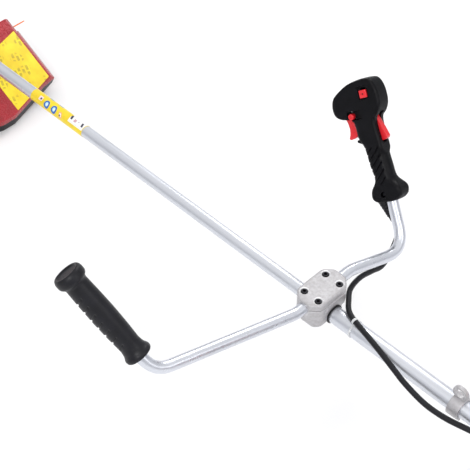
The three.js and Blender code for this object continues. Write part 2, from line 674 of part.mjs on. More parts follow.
part('engine_cover', cut(
  profile([[0, 240], [82, 240], [82, 290], [70, 304], [10, 304], [0, 292]], 142, 6).translate(0, -10.5, 0),
  box(4, 78, -76, 55, 230, 288),
  box(12.5, 69.5, -73.5, 52.5, 280, 300.5),
  box(-20, 100, -100, 80, 230, 252),
  ...[-58, -40, -22, -4, 14, 32].map((y) => box(-10, 20, y, y + 9, 262, 286)),
), redPlastic);

part('fuel_tank', cut(
  join(
    plate([[-58, -68], [-50, -76], [70, -76], [78, -68], [78, 68], [70, 76], [-50, 76], [-58, 68]], 5.3, 82),
    rod([-38, 58, 80], [-38, 58, 90], 13.5),
  ),
  plate([[-54, -66], [-48, -72], [68, -72], [74, -66], [74, 66], [68, 72], [-48, 72], [-54, 66]], 9, 78),
  rod([-38, 58, 70], [-38, 58, 95], 10),
), tankPlastic);
part('fuel_cap', lathe([[0, 78], [9, 78], [9, 90.4], [16.5, 90.4], [16.5, 99], [14, 102], [0, 102]], 16)
  .translate(-38, 58, 0), blackPlastic);
part('engine_stand', cut(
  box(-66, 86, -84, 84, 0, 50),
  box(-60, 80, -78.5, 78.5, 5, 60),
  box(-80, 60, -100, 100, 23, 60),
  box(70, 100, -50, 50, 23, 60),
), blackPlastic);

// Recoil starter at the back, with its T handle pulled along STARTER_WAY

const STARTER_WAY = [0, Math.sin(THREE.MathUtils.degToRad(35)), Math.cos(THREE.MathUtils.degToRad(35))];
const onStarter = (x, reach) => [x, reach * STARTER_WAY[1], AXIS_Z + reach * STARTER_WAY[2]];

part('starter_housing', cut(
  latheX([
    [0, -56], [50, -56], [60, -50], [63, -40], [63, 13], [60, 13], [60, -40], [48, -52], [8, -52],
    [8, -31], [0, -31], [0, -56],
  ]),
  ...[-30, -12, 12, 30].map((z) => box(-70, -50, -28, 28, AXIS_Z + z - 3, AXIS_Z + z + 3)),
  rod([-40, 0, AXIS_Z], [-40, 100 * STARTER_WAY[1], AXIS_Z + 100 * STARTER_WAY[2]], 3, 3, 12),
), redPlastic);
part('starter_pulley', latheX([
  [8.3, -46], [36, -46], [36, -43], [30, -42], [30, -38], [36, -37], [36, -34], [8.3, -34], [8.3, -46],
]), blackPlastic);
part('starter_handle', join(
  rod(onStarter(-40, 63.6), onStarter(-40, 84), 5, 8, 14),
  rod(onStarter(-66, 84), onStarter(-14, 84), 7, 7, 14),
), blackPlastic);

export default group;
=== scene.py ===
"""Looks of the string trimmer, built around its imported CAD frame.

Shapes are written in millimetres, in the row frame or in the frame of a grip or the head, and made in metres.
"""
from math import atan2, cos, hypot, pi, radians, sin, sqrt

import bmesh
import bpy
from mathutils import Matrix, Vector


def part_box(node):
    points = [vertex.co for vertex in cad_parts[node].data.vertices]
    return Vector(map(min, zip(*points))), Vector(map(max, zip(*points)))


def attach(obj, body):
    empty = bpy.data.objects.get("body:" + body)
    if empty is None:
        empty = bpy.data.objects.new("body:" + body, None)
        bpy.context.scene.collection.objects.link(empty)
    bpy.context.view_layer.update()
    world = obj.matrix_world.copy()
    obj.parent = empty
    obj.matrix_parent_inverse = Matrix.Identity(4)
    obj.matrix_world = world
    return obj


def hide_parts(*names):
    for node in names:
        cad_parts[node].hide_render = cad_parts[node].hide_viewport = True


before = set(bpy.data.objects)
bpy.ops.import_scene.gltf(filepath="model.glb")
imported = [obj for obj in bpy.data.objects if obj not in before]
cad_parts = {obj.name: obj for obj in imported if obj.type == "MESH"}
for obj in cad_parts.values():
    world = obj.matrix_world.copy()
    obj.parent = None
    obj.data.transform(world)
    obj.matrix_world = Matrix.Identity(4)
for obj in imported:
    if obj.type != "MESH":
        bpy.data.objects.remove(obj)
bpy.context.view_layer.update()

MM = 0.001

# Driving dimensions, as in the CAD model
AXIS_Z = 152
TUBE_R = 11
TUBE_BORE_R = 9.5
TUBE_START = 172
SLEEVE_R = 14
SLEEVE_BORE_R = 11.4
GRIP_REACH = 152
BAR_R = 9.5
BAR_BORE_R = 8
CLAMP_X = 560
BAR_RISE = 27
CLAMP_TOP = 41
CLAMP_BOTTOM = -18
SCREW_DX = 14.4
SCREW_DY = 24
BAR_TILT = radians(40)
HEAD_X = 1486
HEAD_TILT = radians(30)
GUARD_TOP = -46
GUARD_TAIL = 172
BRACKET_X = 290
CABLE_R = 4.5
LABEL_X = (CLAMP_X + 562, CLAMP_X + 704)

# The view: where the camera stands, in metres, and the ways its right side and its back face
CAMERA_PLACE = (-0.2435, 0.9721, 1.6689)
CAMERA_RIGHT = Vector((-0.706, -0.7082, -0.008))
CAMERA_BACK = Vector((-0.485, 0.4752, 0.7342))
CAMERA_LENS = 97.0

ALONG_X = Matrix.Translation((0, 0, AXIS_Z)) @ Matrix.Rotation(pi / 2, 4, "Y")
AT_CLAMP = Matrix.Translation((CLAMP_X, 0, AXIS_Z))
AT_HEAD = Matrix.Translation((HEAD_X, 0, AXIS_Z)) @ Matrix.Rotation(-HEAD_TILT, 4, "Y")
SIDE_ON = Matrix(((1, 0, 0, 0), (0, 0, 1, 0), (0, 1, 0, 0), (0, 0, 0, 1)))


# Camera, light and floor

def set_camera():
    camera = bpy.data.objects.new("camera", bpy.data.cameras.new("camera"))
    bpy.context.scene.collection.objects.link(camera)
    right = CAMERA_RIGHT.normalized()
    back = (CAMERA_BACK - right * CAMERA_BACK.dot(right)).normalized()
    turn = Matrix((right, back.cross(right), back)).transposed()
    camera.matrix_world = Matrix.Translation(CAMERA_PLACE) @ turn.to_4x4()
    camera.data.lens = CAMERA_LENS
    camera.data.sensor_width = 36.0
    camera.data.clip_end = 60.0
    bpy.context.scene.camera = camera


def area_light(name, place, target, size, power):
    """A round lamp that faces its target, in metres and watts."""
    light = bpy.data.lights.new(name, "AREA")
    light.shape = "DISK"
    light.size = size
    light.energy = power
    lamp = bpy.data.objects.new(name, light)
    bpy.context.scene.collection.objects.link(lamp)
    lamp.location = place
    lamp.rotation_euler = (Vector(place) - Vector(target)).to_track_quat("Z", "Y").to_euler()


def set_studio():
    world = bpy.data.worlds.new("studio")
    bpy.context.scene.world = world
    world.use_nodes = True
    nodes, links = world.node_tree.nodes, world.node_tree.links
    split = nodes.new("ShaderNodeSeparateXYZ")
    ramp = nodes.new("ShaderNodeValToRGB")
    links.new(nodes.new("ShaderNodeTexCoord").outputs["Generated"], split.inputs[0])
    links.new(split.outputs["Z"], ramp.inputs[0])
    ramp.color_ramp.elements[0].color = (0.4, 0.41, 0.45, 1)
    ramp.color_ramp.elements[1].position = 0.75
    ramp.color_ramp.elements[1].color = (1.0, 1.0, 1.0, 1)
    links.new(ramp.outputs[0], nodes["Background"].inputs["Color"])
    nodes["Background"].inputs["Strength"].default_value = 0.95
    area_light("key", (-0.6, 1.9, 2.6), (0.55, 0, 0.15), 1.2, 34)
    area_light("rim", (1.6, -1.8, 1.7), (0.6, 0, 0.15), 0.9, 16)
    area_light("tail", (-1.6, -0.4, 1.6), (0.1, 0, 0.2), 1.0, 8)
    bpy.context.scene.view_settings.view_transform = "Standard"


def set_floor():
    """The pale floor that the stand rests on."""
    bpy.ops.mesh.primitive_plane_add(size=24, location=(0.6, 0, 0))
    floor = bpy.context.object
    floor.name = "floor"
    paint = Finish("floor_paint", (0.93, 0.93, 0.935), 0.85)
    floor.data.materials.append(paint.material)


# Materials

class Finish:
    """A procedural material, built up on its own Principled shader, with patterns in object coordinates."""

    def __init__(self, name, colour, roughness, metallic=0.0, **sockets):
        self.slot = name
        self.material = bpy.data.materials.new(name)
        self.material.use_nodes = True
        self.nodes = self.material.node_tree.nodes
        self.links = self.material.node_tree.links
        self.shader = self.nodes["Principled BSDF"]
        self.colour = (*colour, 1)
        self.put(self.shader, {"Base Color": self.colour, "Roughness": roughness, "Metallic": metallic})
        self.put(self.shader, {key.replace("_", " "): value for key, value in sockets.items()})
        self.place = self.add("ShaderNodeTexCoord").outputs["Object"]

    def add(self, kind, inputs=None, **settings):
        node = self.nodes.new(kind)
        for key, value in settings.items():
            setattr(node, key, value)
        self.put(node, inputs or {})
        return node

    def put(self, node, inputs):
        for key, value in inputs.items():
            if isinstance(value, bpy.types.NodeSocket):
                self.links.new(value, node.inputs[key])
            else:
                node.inputs[key].default_value = value

    def maths(self, operation, a, b=0.0, c=0.0):
        return self.add("ShaderNodeMath", {0: a, 1: b, 2: c}, operation=operation).outputs[0]

    def less(self, a, b):
        return self.maths("SUBTRACT", a, b)

    def times(self, a, b):
        return self.maths("MULTIPLY", a, b)

    def noise(self, scale, detail=3.0, stretch=(1, 1, 1)):
        mapping = self.add("ShaderNodeMapping", {"Vector": self.place, "Scale": stretch})
        inputs = {"Vector": mapping.outputs[0], "Scale": scale, "Detail": detail}
        return self.add("ShaderNodeTexNoise", inputs).outputs[0]

    def cells(self, scale):
        inputs = {"Vector": self.place, "Scale": scale}
        return self.add("ShaderNodeTexVoronoi", inputs).outputs["Distance"]

    def spread(self, value, low, high, to_low=0.0, to_high=1.0):
        inputs = {"Value": value, "From Min": low, "From Max": high, "To Min": to_low, "To Max": to_high}
        return self.add("ShaderNodeMapRange", inputs).outputs[0]

    def blend(self, factor, colour):
        """The colour so far, changed to another where factor is 1."""
        node = self.add("ShaderNodeMix", data_type="RGBA")
        self.put(node, {0: factor, 6: self.colour, 7: (*colour, 1)})
        self.colour = node.outputs[2]
        self.put(self.shader, {"Base Color": self.colour})
        return self

    def mottle(self, colour, scale, low=0.35, high=0.7, stretch=(1, 1, 1)):
        return self.blend(self.spread(self.noise(scale, 4.0, stretch), low, high), colour)

    def wear_and_edge_highlight(self, colour, low=0.53, high=0.62, scale=160.0):
        """Edges lightened toward a colour, partly wear and partly a painted edge highlight, broken up by
        noise.
        """
        edge = self.spread(self.add("ShaderNodeNewGeometry").outputs["Pointiness"], low, high)
        patches = self.spread(self.noise(scale, 4.0), 0.4, 0.62)
        return self.blend(self.maths("MULTIPLY", edge, patches), colour)

    def gloss(self, low, high, scale, stretch=(1, 1, 1)):
        factor = self.noise(scale, 4.0, stretch)
        self.put(self.shader, {"Roughness": self.spread(factor, 0.3, 0.7, low, high)})
        return self

    def relief(self, height, depth, strength=0.5):
        node = self.add("ShaderNodeBump", {"Height": height, "Distance": depth * MM, "Strength": strength})
        source = self.shader.inputs["Normal"]
        if source.is_linked:
            self.put(node, {"Normal": source.links[0].from_socket})
        self.put(self.shader, {"Normal": node.outputs[0]})
        return self


def drawn_metal(name, colour, rough, streaks=0.25):
    """Tube or bar stock, with fine lines along X from drawing."""
    metal = Finish(name, colour, rough, 0.86)
    metal.mottle(tuple(0.93 * c for c in colour), 18.0, 0.3, 0.75, (0.25, 1, 1))
    metal.gloss(rough - 0.05, rough + 0.07, 90.0, (0.3, 1, 1))
    metal.relief(metal.noise(900.0, 2.0, (0.02, 1, 1)), 0.05, streaks)
    return metal.relief(metal.noise(60.0, 2.0), 0.1, 0.08)


def cast_metal(name, colour, shade):
    """A cast or blasted surface, speckled, with its edges worn bright and lit by a painted edge highlight."""
    metal = Finish(name, colour, 0.5, 0.5)
    metal.mottle(shade, 240.0, 0.45, 0.8)
    metal.blend(metal.spread(metal.cells(1500.0), 0.1, 0.0), tuple(0.6 * c for c in shade))
    # worn edges with a painted edge highlight: sharp edges, found by high pointiness, lightened to near-white
    metal.wear_and_edge_highlight((0.8, 0.8, 0.81), 0.52, 0.6)
    metal.gloss(0.42, 0.62, 300.0)
    metal.relief(metal.noise(1500.0, 4.0), 0.2, 0.5)
    return metal.relief(metal.noise(220.0, 3.0), 0.15, 0.25)


def moulded(name, colour, second, rough, grain=2200.0, depth=0.08, rubbed=None, **sockets):
    """A moulded plastic or rubber with a fine grain, with painted shade darkening its hollows and, when given
    their colour, worn edges with a painted edge highlight.
    """
    plastic = Finish(name, colour, rough, 0.0, **sockets)
    plastic.mottle(second, 45.0)
    # painted shade: hollows and creases, found by low pointiness, are darkened toward near-black
    hollow = plastic.spread(plastic.add("ShaderNodeNewGeometry").outputs["Pointiness"], 0.49, 0.42)
    plastic.blend(hollow, tuple(0.25 * c for c in second))
    # worn edges with a painted edge highlight, when a colour is given for them
    if rubbed:
        plastic.wear_and_edge_highlight(rubbed)
    plastic.gloss(rough - 0.06, rough + 0.1, 400.0)
    plastic.relief(plastic.cells(grain), depth, 0.4)
    return plastic.relief(plastic.noise(120.0, 2.0), 0.12, 0.12)


def film_finish():
    """Yellow film on the tube, printed with plain discs, bars and blocks."""
    film = Finish("yellow_film", (0.93, 0.72, 0.015), 0.34, 0.0, Coat_Weight=0.25, Coat_Roughness=0.2)
    film.mottle((0.88, 0.62, 0.01), 70.0)
    split = film.add("ShaderNodeSeparateXYZ", {0: film.place})
    x = film.times(split.outputs["X"], 1 / MM)
    rise = film.less(film.times(split.outputs["Z"], 1 / MM), AXIS_Z)
    turn = film.maths("ARCTAN2", rise, film.times(split.outputs["Y"], 1 / MM))
    arc = film.times(film.less(turn, 1), TUBE_R + 0.5)

    def edge(value):
        """1 inside a printed shape and 0 outside, from the distance to its edge."""
        return film.spread(value, 0.15, -0.15)

    def disc(at, up, radius):
        off_x, off_y = film.times(film.less(x, at), 1.2), film.less(arc, up)
        square = film.maths("ADD", film.times(off_x, off_x), film.times(off_y, off_y))
        return edge(film.less(film.maths("SQRT", square), radius))

    def block(at, up, half_x, half_y, slant=0.0):
        off_y = film.less(arc, up)
        off_x = film.less(film.less(x, at), film.times(off_y, slant))
        over_x = film.less(film.maths("ABSOLUTE", off_x), half_x)
        over_y = film.less(film.maths("ABSOLUTE", off_y), half_y)
        return edge(film.maths("MAXIMUM", over_x, over_y))

    near = LABEL_X[0]
    white, blue, dark, rose = (0.9, 0.9, 0.9), (0.01, 0.12, 0.5), (0.02, 0.02, 0.05), (0.6, 0.36, 0.4)
    for at in (near + 78.5, near + 98.5):
        film.blend(disc(at, -2.6, 8.2), blue)
        film.blend(disc(at, -2.0, 4.2), (0.45, 0.78, 0.95))
        film.blend(disc(at - 0.8, -2.0, 2.2), white)
    film.blend(block(near + 20, 6.5, 19, 10.5), white)
    film.blend(block(near + 36, 7.0, 2.4, 4.5, 0.35), dark)
    film.blend(block(near + 7, 5.5, 2.2, 4.2, 0.35), dark)
    film.blend(block(near + 25, 4.5, 3.0, 3.0), rose)
    film.blend(block(near + 17, 6, 2.0, 1.2), (0.55, 0.5, 0.55))
    film.blend(block(near + 60, -3.5, 3.8, 4.8, 0.5), (0.86, 0.4, 0.25))
    film.blend(block(near + 60, -3.5, 2.2, 3.0, 0.5), white)
    film.blend(block(near + 61, -5.0, 1.4, 1.8), dark)
    film.blend(block(near + 117, 1, 4.5, 4.2), (0.85, 0.68, 0.72))
    film.blend(block(near + 116, 0.6, 1.8, 1.8), dark)
    for at in (near + 74, near + 99):
        film.blend(block(at, 14.6, 6.0, 1.9), (0.03, 0.22, 0.45))
    return film.relief(film.noise(500.0, 2.0), 0.05, 0.2)


def panel_finish():
    """The guard's yellow panel, printed with rows of plain bars of unequal length."""
    panel = Finish("guard_panel", (0.93, 0.74, 0.02), 0.36, 0.0, Coat_Weight=0.2, Coat_Roughness=0.2)
    panel.mottle((0.86, 0.6, 0.01), 50.0)
    flat = panel.add("ShaderNodeMapping", {"Vector": panel.place, "Rotation": (0, 0, radians(16))})
    black, white = (0, 0, 0, 1), (1, 1, 1, 1)
    rows = panel.add("ShaderNodeTexBrick", {
        "Vector": flat.outputs[0], "Scale": 1.0, "Color1": black, "Color2": white, "Mortar": white,
        "Mortar Size": 0.002, "Brick Width": 0.013, "Row Height": 0.0085, "Mortar Smooth": 0.3, "Bias": -0.1,
    })
    marks = panel.spread(rows.outputs["Fac"], 0.6, 0.4)
    patches = panel.spread(panel.noise(38.0, 1.0), 0.5, 0.6, 0.0, 0.7)
    panel.blend(panel.maths("MULTIPLY", marks, patches), (0.42, 0.3, 0.02))
    return panel.relief(panel.noise(400.0, 2.0), 0.05, 0.2)


def make_finishes():
    # the second black mottles the blacks and is the base of their painted hollow shade; the third lightens
    # their edges, as wear and painted edge highlight
    black, black_mottle_and_hollow_shade, rubbed = (0.005, 0.005, 0.0072), (0.0085, 0.0085, 0.0125), (0.03, 0.03, 0.036)
    dull = {"rubbed": rubbed, "Specular_IOR_Level": 0.3}
    glossy = {"Coat_Weight": 0.35, "Coat_Roughness": 0.1}
    finishes = [
        drawn_metal("silver_tube", (0.7, 0.72, 0.77), 0.38),
        drawn_metal("bar_tube", (0.68, 0.7, 0.755), 0.3, 0.0),
        cast_metal("cast_alloy", (0.5, 0.49, 0.505), (0.41, 0.395, 0.395)),
        drawn_metal("steel", (0.55, 0.56, 0.58), 0.3),
        drawn_metal("dark_steel", (0.03, 0.03, 0.035), 0.36),
        moulded("black_plastic", black, black_mottle_and_hollow_shade, 0.38, **dull),
        moulded("black_rubber", black, black_mottle_and_hollow_shade, 0.42, 1500.0, 0.12, **dull),
        # the last colour of the red and guard plastics lightens their edges, as wear and painted edge
        # highlight
        moulded("red_plastic", (0.8, 0.012, 0.022), (0.7, 0.008, 0.016), 0.32, 2600.0, 0.04,
                (0.9, 0.16, 0.13), Coat_Weight=0.2, Coat_Roughness=0.15),
        moulded("guard_plastic", (0.38, 0.004, 0.014), (0.3, 0.003, 0.01), 0.24, 1800.0, 0.04,
                (0.6, 0.08, 0.1), **glossy),
        film_finish(),
        moulded("clear_plastic", (0.88, 0.89, 0.9), (0.82, 0.84, 0.86), 0.25, 1200.0, 0.03,
                Transmission_Weight=0.35),
        moulded("tank_plastic", (0.84, 0.81, 0.74), (0.78, 0.74, 0.65), 0.38, 1300.0, 0.06,
                Subsurface_Weight=0.2, Subsurface_Scale=0.01),
        moulded("line_nylon", (0.95, 0.2, 0.015), (0.85, 0.15, 0.01), 0.4, 1500.0, 0.03),
        panel_finish(),
    ]
    return {finish.slot: finish.material for finish in finishes}


# Mesh helpers. A place is the matrix from a shape's own millimetres to the row frame's.

def solid(name, verts, faces, place=None):
    place = place or Matrix()
    mesh = bpy.data.meshes.new(name)
    mesh.from_pydata([(place @ Vector(v)) * MM for v in verts], [], faces)
    piece = bpy.data.objects.new(name, mesh)
    bpy.context.scene.collection.objects.link(piece)
    clean(piece)
    return piece


def clean(piece, limit=30.0):
    """Welds the mesh, turns its faces out and splits the shading at its sharp edges."""
    work = bmesh.new()
    work.from_mesh(piece.data)
    bmesh.ops.remove_doubles(work, verts=work.verts, dist=2e-6)
    bmesh.ops.dissolve_degenerate(work, edges=work.edges, dist=1e-6)
    bmesh.ops.recalc_face_normals(work, faces=work.faces)
    for face in work.faces:
        face.smooth = True
    for edge in work.edges:
        edge.smooth = edge.calc_face_angle(pi) < radians(limit)
    work.to_mesh(piece.data)
    work.free()


def loft(rings, loop=False, caps=True):
    """The vertices and faces of a skin over rings of equal counts."""
    count = len(rings[0])
    verts = [v for ring in rings for v in ring]
    faces = []
    for i in range(len(rings) if loop else len(rings) - 1):
        a, b = i * count, (i + 1) % len(rings) * count
        faces += [(a + j, a + (j + 1) % count, b + (j + 1) % count, b + j) for j in range(count)]
    if caps and not loop:
        faces.append(tuple(range(count))[::-1])
        faces.append(tuple(range(len(verts) - count, len(verts))))
    return verts, faces


def rounded(points, radius, closed=True, steps=5):
    """The points with each corner turned into a curve that starts a radius before it."""
    points = [Vector(p) for p in points]
    curve = []
    for i, corner in enumerate(points):
        if not closed and i in (0, len(points) - 1):
            curve.append(corner)
            continue
        to_last, to_next = points[i - 1] - corner, points[(i + 1) % len(points)] - corner
        start = corner + to_last.normalized() * min(radius, 0.45 * to_last.length)
        end = corner + to_next.normalized() * min(radius, 0.45 * to_next.length)
        for k in range(steps + 1):
            t = k / steps
            curve.append(start.lerp(corner, t).lerp(corner.lerp(end, t), t))
    return curve


def divided(points, step, closed=False):
    """The points with more between them, no further apart than a step."""
    pairs = list(zip(points, points[1:] + points[:1] if closed else points[1:]))
    out = []
    for a, b in pairs:
        count = max(1, int((b - a).length / step + 0.99))
        out += [a.lerp(b, k / count) for k in range(count)]
    return out if closed else out + [points[-1]]


def resampled(points, count, closed=False):
    """Count points evenly spaced along a line of points."""
    line = points + points[:1] if closed else points
    lengths = [0.0]
    for a, b in zip(line, line[1:]):
        lengths.append(lengths[-1] + (b - a).length)
    out, k = [], 0
    for i in range(count):
        target = lengths[-1] * i / (count if closed else count - 1)
        while k < len(line) - 2 and lengths[k + 1] < target:
            k += 1
        span = lengths[k + 1] - lengths[k]
        out.append(line[k].lerp(line[k + 1], (target - lengths[k]) / span if span else 0.0))
    return out


def spline(points, steps):
    """A centripetal Catmull-Rom curve through the points."""
    points = [Vector(p) for p in points]
    ends = [2 * points[0] - points[1]] + points + [2 * points[-1] - points[-2]]
    out = []
    for a, b, c, d in zip(ends, ends[1:], ends[2:], ends[3:]):
        t0, t1, t2 = (sqrt((q - p).length) for p, q in ((a, b), (b, c), (c, d)))
        out_b = ((b - a) / t0 - (c - a) / (t0 + t1) + (c - b) / t1) * t1
        in_c = ((c - b) / t1 - (d - b) / (t1 + t2) + (d - c) / t2) * t1
        for k in range(steps):
            t = k / steps
            out.append(b + out_b * t + (3 * c - 3 * b - 2 * out_b - in_c) * t * t
                       + (2 * b - 2 * c + out_b + in_c) * t ** 3)
    return out + [points[-1]]


def bent(corners, radii, steps=14):
    """Straight runs with a bend of its own radius at each inner corner."""
    path = [corners[0]]
    for last, corner, following, radius in zip(corners, corners[1:], corners[2:], radii):
        back, ahead = (last - corner).normalized(), (following - corner).normalized()
        setback = radius / (sin(back.angle(ahead) / 2) / cos(back.angle(ahead) / 2))
        start, end = corner + back * setback, corner + ahead * setback
        for k in range(steps + 1):
            t = k / steps
            path.append(start.lerp(corner, t).lerp(corner.lerp(end, t), t))
    return path + [corners[-1]]


def sweep(name, points, radius, sides=32, bore=0.0):
    """A round tube along the points. Radius is a length, or a function of how far along and round it is."""
    reach = radius if callable(radius) else lambda share, angle: radius
    side = (points[1] - points[0]).orthogonal().normalized()
    outer, inner = [], []
    last = (points[1] - points[0]).normalized()
    for i, point in enumerate(points):
        way = (points[min(i + 1, len(points) - 1)] - points[max(i - 1, 0)]).normalized()
        side = last.rotation_difference(way) @ side
        side = (side - way * side.dot(way)).normalized()
        up = way.cross(side)
        last = way
        share = i / (len(points) - 1)
        angles = [2 * pi * k / sides for k in range(sides)]
        outer.append([point + (side * cos(a) + up * sin(a)) * reach(share, a) for a in angles])
        inner.append([point + (side * cos(a) + up * sin(a)) * bore for a in angles])
    rings = outer + inner[::-1] if bore else outer
    return solid(name, *loft(rings, loop=bool(bore)))


def lathe(name, profile, place=None, sides=72, edge=0.8, step=None):
    """A turned solid from [radius, height] corners: from axis to axis, or a closed loop clear of it."""
    open_profile = profile[0][0] == 0
    points = rounded(profile, edge, closed=not open_profile, steps=4)
    if step:
        points = divided(points, step, closed=not open_profile)
    rings = [[(p.x * cos(2 * pi * k / sides), p.x * sin(2 * pi * k / sides), p.y) for k in range(sides)]
             for p in points]
    return solid(name, *loft(rings, loop=not open_profile, caps=False), place)


def between(a, b):
    """The place whose Z axis runs from a to b, and the distance."""
    a, b = Vector(a), Vector(b)
    turn = (b - a).to_track_quat("Z", "Y").to_matrix().to_4x4()
    return Matrix.Translation(a) @ turn, (b - a).length


def rod(name, a, b, r0, r1=None, edge=0.6, sides=40, place=None):
    """A round bar from a to b, which may taper."""
    spot, length = between(a, b)
    profile = [(0, 0), (r0, 0), (r0 if r1 is None else r1, length), (0, length)]
    return lathe(name, profile, (place or Matrix()) @ spot, sides, edge)


def slab(name, outline, low, high, edge, place=None, rows=1, steps=5):
    """A flat outline between two heights with rounded rims. Edge is a length, or a function of a point."""
    outline = [Vector(p) for p in outline]
    count = len(outline)
    area = sum(outline[i - 1].x * outline[i].y - outline[i].x * outline[i - 1].y for i in range(count))
    reach = edge if callable(edge) else lambda point: edge
    inward = []
    for i in range(count):
        way = (outline[(i + 1) % count] - outline[i - 1]).normalized()
        inward.append(Vector((-way.y, way.x)) * (1 if area > 0 else -1))
    rings = []
    turns = [pi / 2 * k / steps for k in range(steps + 1)]
    for a in turns:
        rings.append([(*(p + n * reach(p) * (1 - sin(a))), low + reach(p) * (1 - cos(a)))
                      for p, n in zip(outline, inward)])
    for k in range(1, rows):
        rings.append([(p.x, p.y, low + reach(p) + (high - low - 2 * reach(p)) * k / rows) for p in outline])
    for a in turns[::-1]:
        rings.append([(*(p + n * reach(p) * (1 - sin(a))), high - reach(p) * (1 - cos(a)))
                      for p, n in zip(outline, inward)])
    return solid(name, *loft(rings), place)


def block(name, x, y, z, edge=1.0, place=None, corner=None):
    """A box between the given X, Y and Z limits, with rounded edges."""
    corners = [(x[0], y[0]), (x[1], y[0]), (x[1], y[1]), (x[0], y[1])]
    return slab(name, rounded(corners, corner or edge), z[0], z[1], edge, place, steps=4)


def cutter(x, y, z, place=None):
    """A sharp box to cut with, between the given limits."""
    corners = [(a, b, c) for a in x for b in y for c in z]
    faces = [(0, 1, 3, 2), (4, 6, 7, 5), (0, 4, 5, 1), (2, 3, 7, 6), (0, 2, 6, 4), (1, 5, 7, 3)]
    return solid("cutter", corners, faces, place)


def notch(x, y, z, edge=1.0, place=None, corner=None):
    """A box with rounded edges to cut with."""
    return block("cutter", x, y, z, edge, place, corner)


def drill(a, b, radius, place=None, sides=40):
    """A sharp round bar to cut with, from a to b."""
    return rod("cutter", a, b, radius, radius, 0.001, sides, place)


def set_mesh(piece):
    """Applies the piece's modifiers."""
    bpy.context.view_layer.update()
    graph = bpy.context.evaluated_depsgraph_get()
    mesh = bpy.data.meshes.new_from_object(piece.evaluated_get(graph))
    piece.modifiers.clear()
    piece.data = mesh
    clean(piece)


def combine(piece, operation, others):
    for other in others:
        modifier = piece.modifiers.new("join", "BOOLEAN")
        modifier.operation = operation
        modifier.solver = "MANIFOLD"
        modifier.object = other
    set_mesh(piece)
    for other in others:
        bpy.data.objects.remove(other)
    return piece


def carve(piece, *tools):
    return combine(piece, "DIFFERENCE", tools)


def merge(piece, *others):
    return combine(piece, "UNION", others)


def circle(radius, count, phase=0.0):
    """Points evenly round a circle about the origin."""
    turns = [phase + 2 * pi * k / count for k in range(count)]
    return [(radius * cos(a), radius * sin(a)) for a in turns]


def press(piece, place, depth):
    """Moves each point in along its normal by depth, a function of the point in the shape's own frame."""
    back = place.inverted()
    normals = [n.vector.copy() for n in piece.data.vertex_normals]
    for vertex, normal in zip(piece.data.vertices, normals):
        vertex.co -= normal * depth(back @ (vertex.co / MM)) * MM


def smooth(value, low, high):
    """0 up to low and 1 from high, with an even slope between."""
    t = min(1.0, max(0.0, (value - low) / (high - low)))
    return t * t * (3 - 2 * t)


def dress(piece, body, slot, *nodes, also=()):
    """Gives a finished piece its finish and its body, and hides the CAD nodes that it stands for."""
    piece.data.materials.clear()
    for material in (FINISHES[slot], *also):
        piece.data.materials.append(material)
    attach(piece, body)
    if nodes:
        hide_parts(*nodes)
    return piece


# Drive tube, sleeve, film and handlebar

def turned_x(name, r0, r1, x0, x1, edge=0.4, sides=96):
    """A tube about the drive tube's axis."""
    return lathe(name, [(r0, x0), (r1, x0), (r1, x1), (r0, x1)], ALONG_X, sides, edge)


def on_bar(right, up):
    """A point in the handlebar's plane, from its distances to the right and up from the clamp."""
    return Vector((CLAMP_X + up * sin(BAR_TILT), -right, AXIS_Z + BAR_RISE + up * cos(BAR_TILT)))


# Where each grip's foot stands in the handlebar's plane, and the way it points, as (right, up)
LEFT_FOOT, LEFT_WAY = (-312.3, 98.7), (-0.204, 0.979)
HANDLE_FOOT, HANDLE_WAY = (198.3, 44.1), (0.278, 0.961)


def grip_frame(foot, way, twist=0.0):
    """A grip's place: X to the front, Y to the left and Z up the grip."""
    up = Vector((way[1] * sin(BAR_TILT), -way[0], way[1] * cos(BAR_TILT))).normalized()
    front = (Vector((1, 0, 0)) - up * up.x).normalized()
    turned = front * cos(twist) + up.cross(front) * sin(twist)
    turn = Matrix((turned, up.cross(turned), up)).transposed().to_4x4()
    return Matrix.Translation(on_bar(*foot)) @ turn


AT_GRIP = grip_frame(LEFT_FOOT, LEFT_WAY)
AT_HANDLE = grip_frame(HANDLE_FOOT, HANDLE_WAY, radians(5))


def make_tubes():
    drive = turned_x("fine_drive_tube", TUBE_BORE_R, TUBE_R, TUBE_START, HEAD_X - 38)
    dress(drive, "frame", "silver_tube", "drive_tube")
    sleeve = turned_x("fine_sleeve_tube", SLEEVE_BORE_R, SLEEVE_R, TUBE_START, CLAMP_X - 15, 0.9)
    dress(sleeve, "frame", "silver_tube", "sleeve_tube")
    bush = turned_x("fine_sleeve_bush", SLEEVE_R + 0.1, 16.4, CLAMP_X - 29.3, CLAMP_X - 26.3, 1.0)
    dress(bush, "frame", "black_rubber", "sleeve_bush")
    film = turned_x("fine_tube_label", TUBE_R + 0.05, TUBE_R + 0.4, *LABEL_X, 0.1)
    dress(film, "frame", "yellow_film", "tube_label")
    (left, rise), (left_way, rise_way) = LEFT_FOOT, LEFT_WAY
    (right, up), (right_way, up_way) = HANDLE_FOOT, HANDLE_WAY
    corners = [
        on_bar(left + left_way * GRIP_REACH, rise + rise_way * GRIP_REACH), on_bar(-305.4, 65.6),
        on_bar(-57.7, 0),
        on_bar(66.1, 0), on_bar(176.3, -32), on_bar(right + right_way * 90, up + up_way * 90),
    ]
    bar = sweep("fine_handlebar", bent(corners, [45, 60, 60, 40]), BAR_R, 64, BAR_BORE_R)
    dress(bar, "frame", "bar_tube", "handlebar")


# Clamp

def block_plan(x, y, cut_x, cut_y):
    """An oblong with its corners cut off and rounded."""
    return rounded([(-x, -cut_y), (-cut_x, -y), (cut_x, -y), (x, -cut_y), (x, cut_y), (cut_x, y), (-cut_x, y),
                    (-x, cut_y)], 6, steps=6)


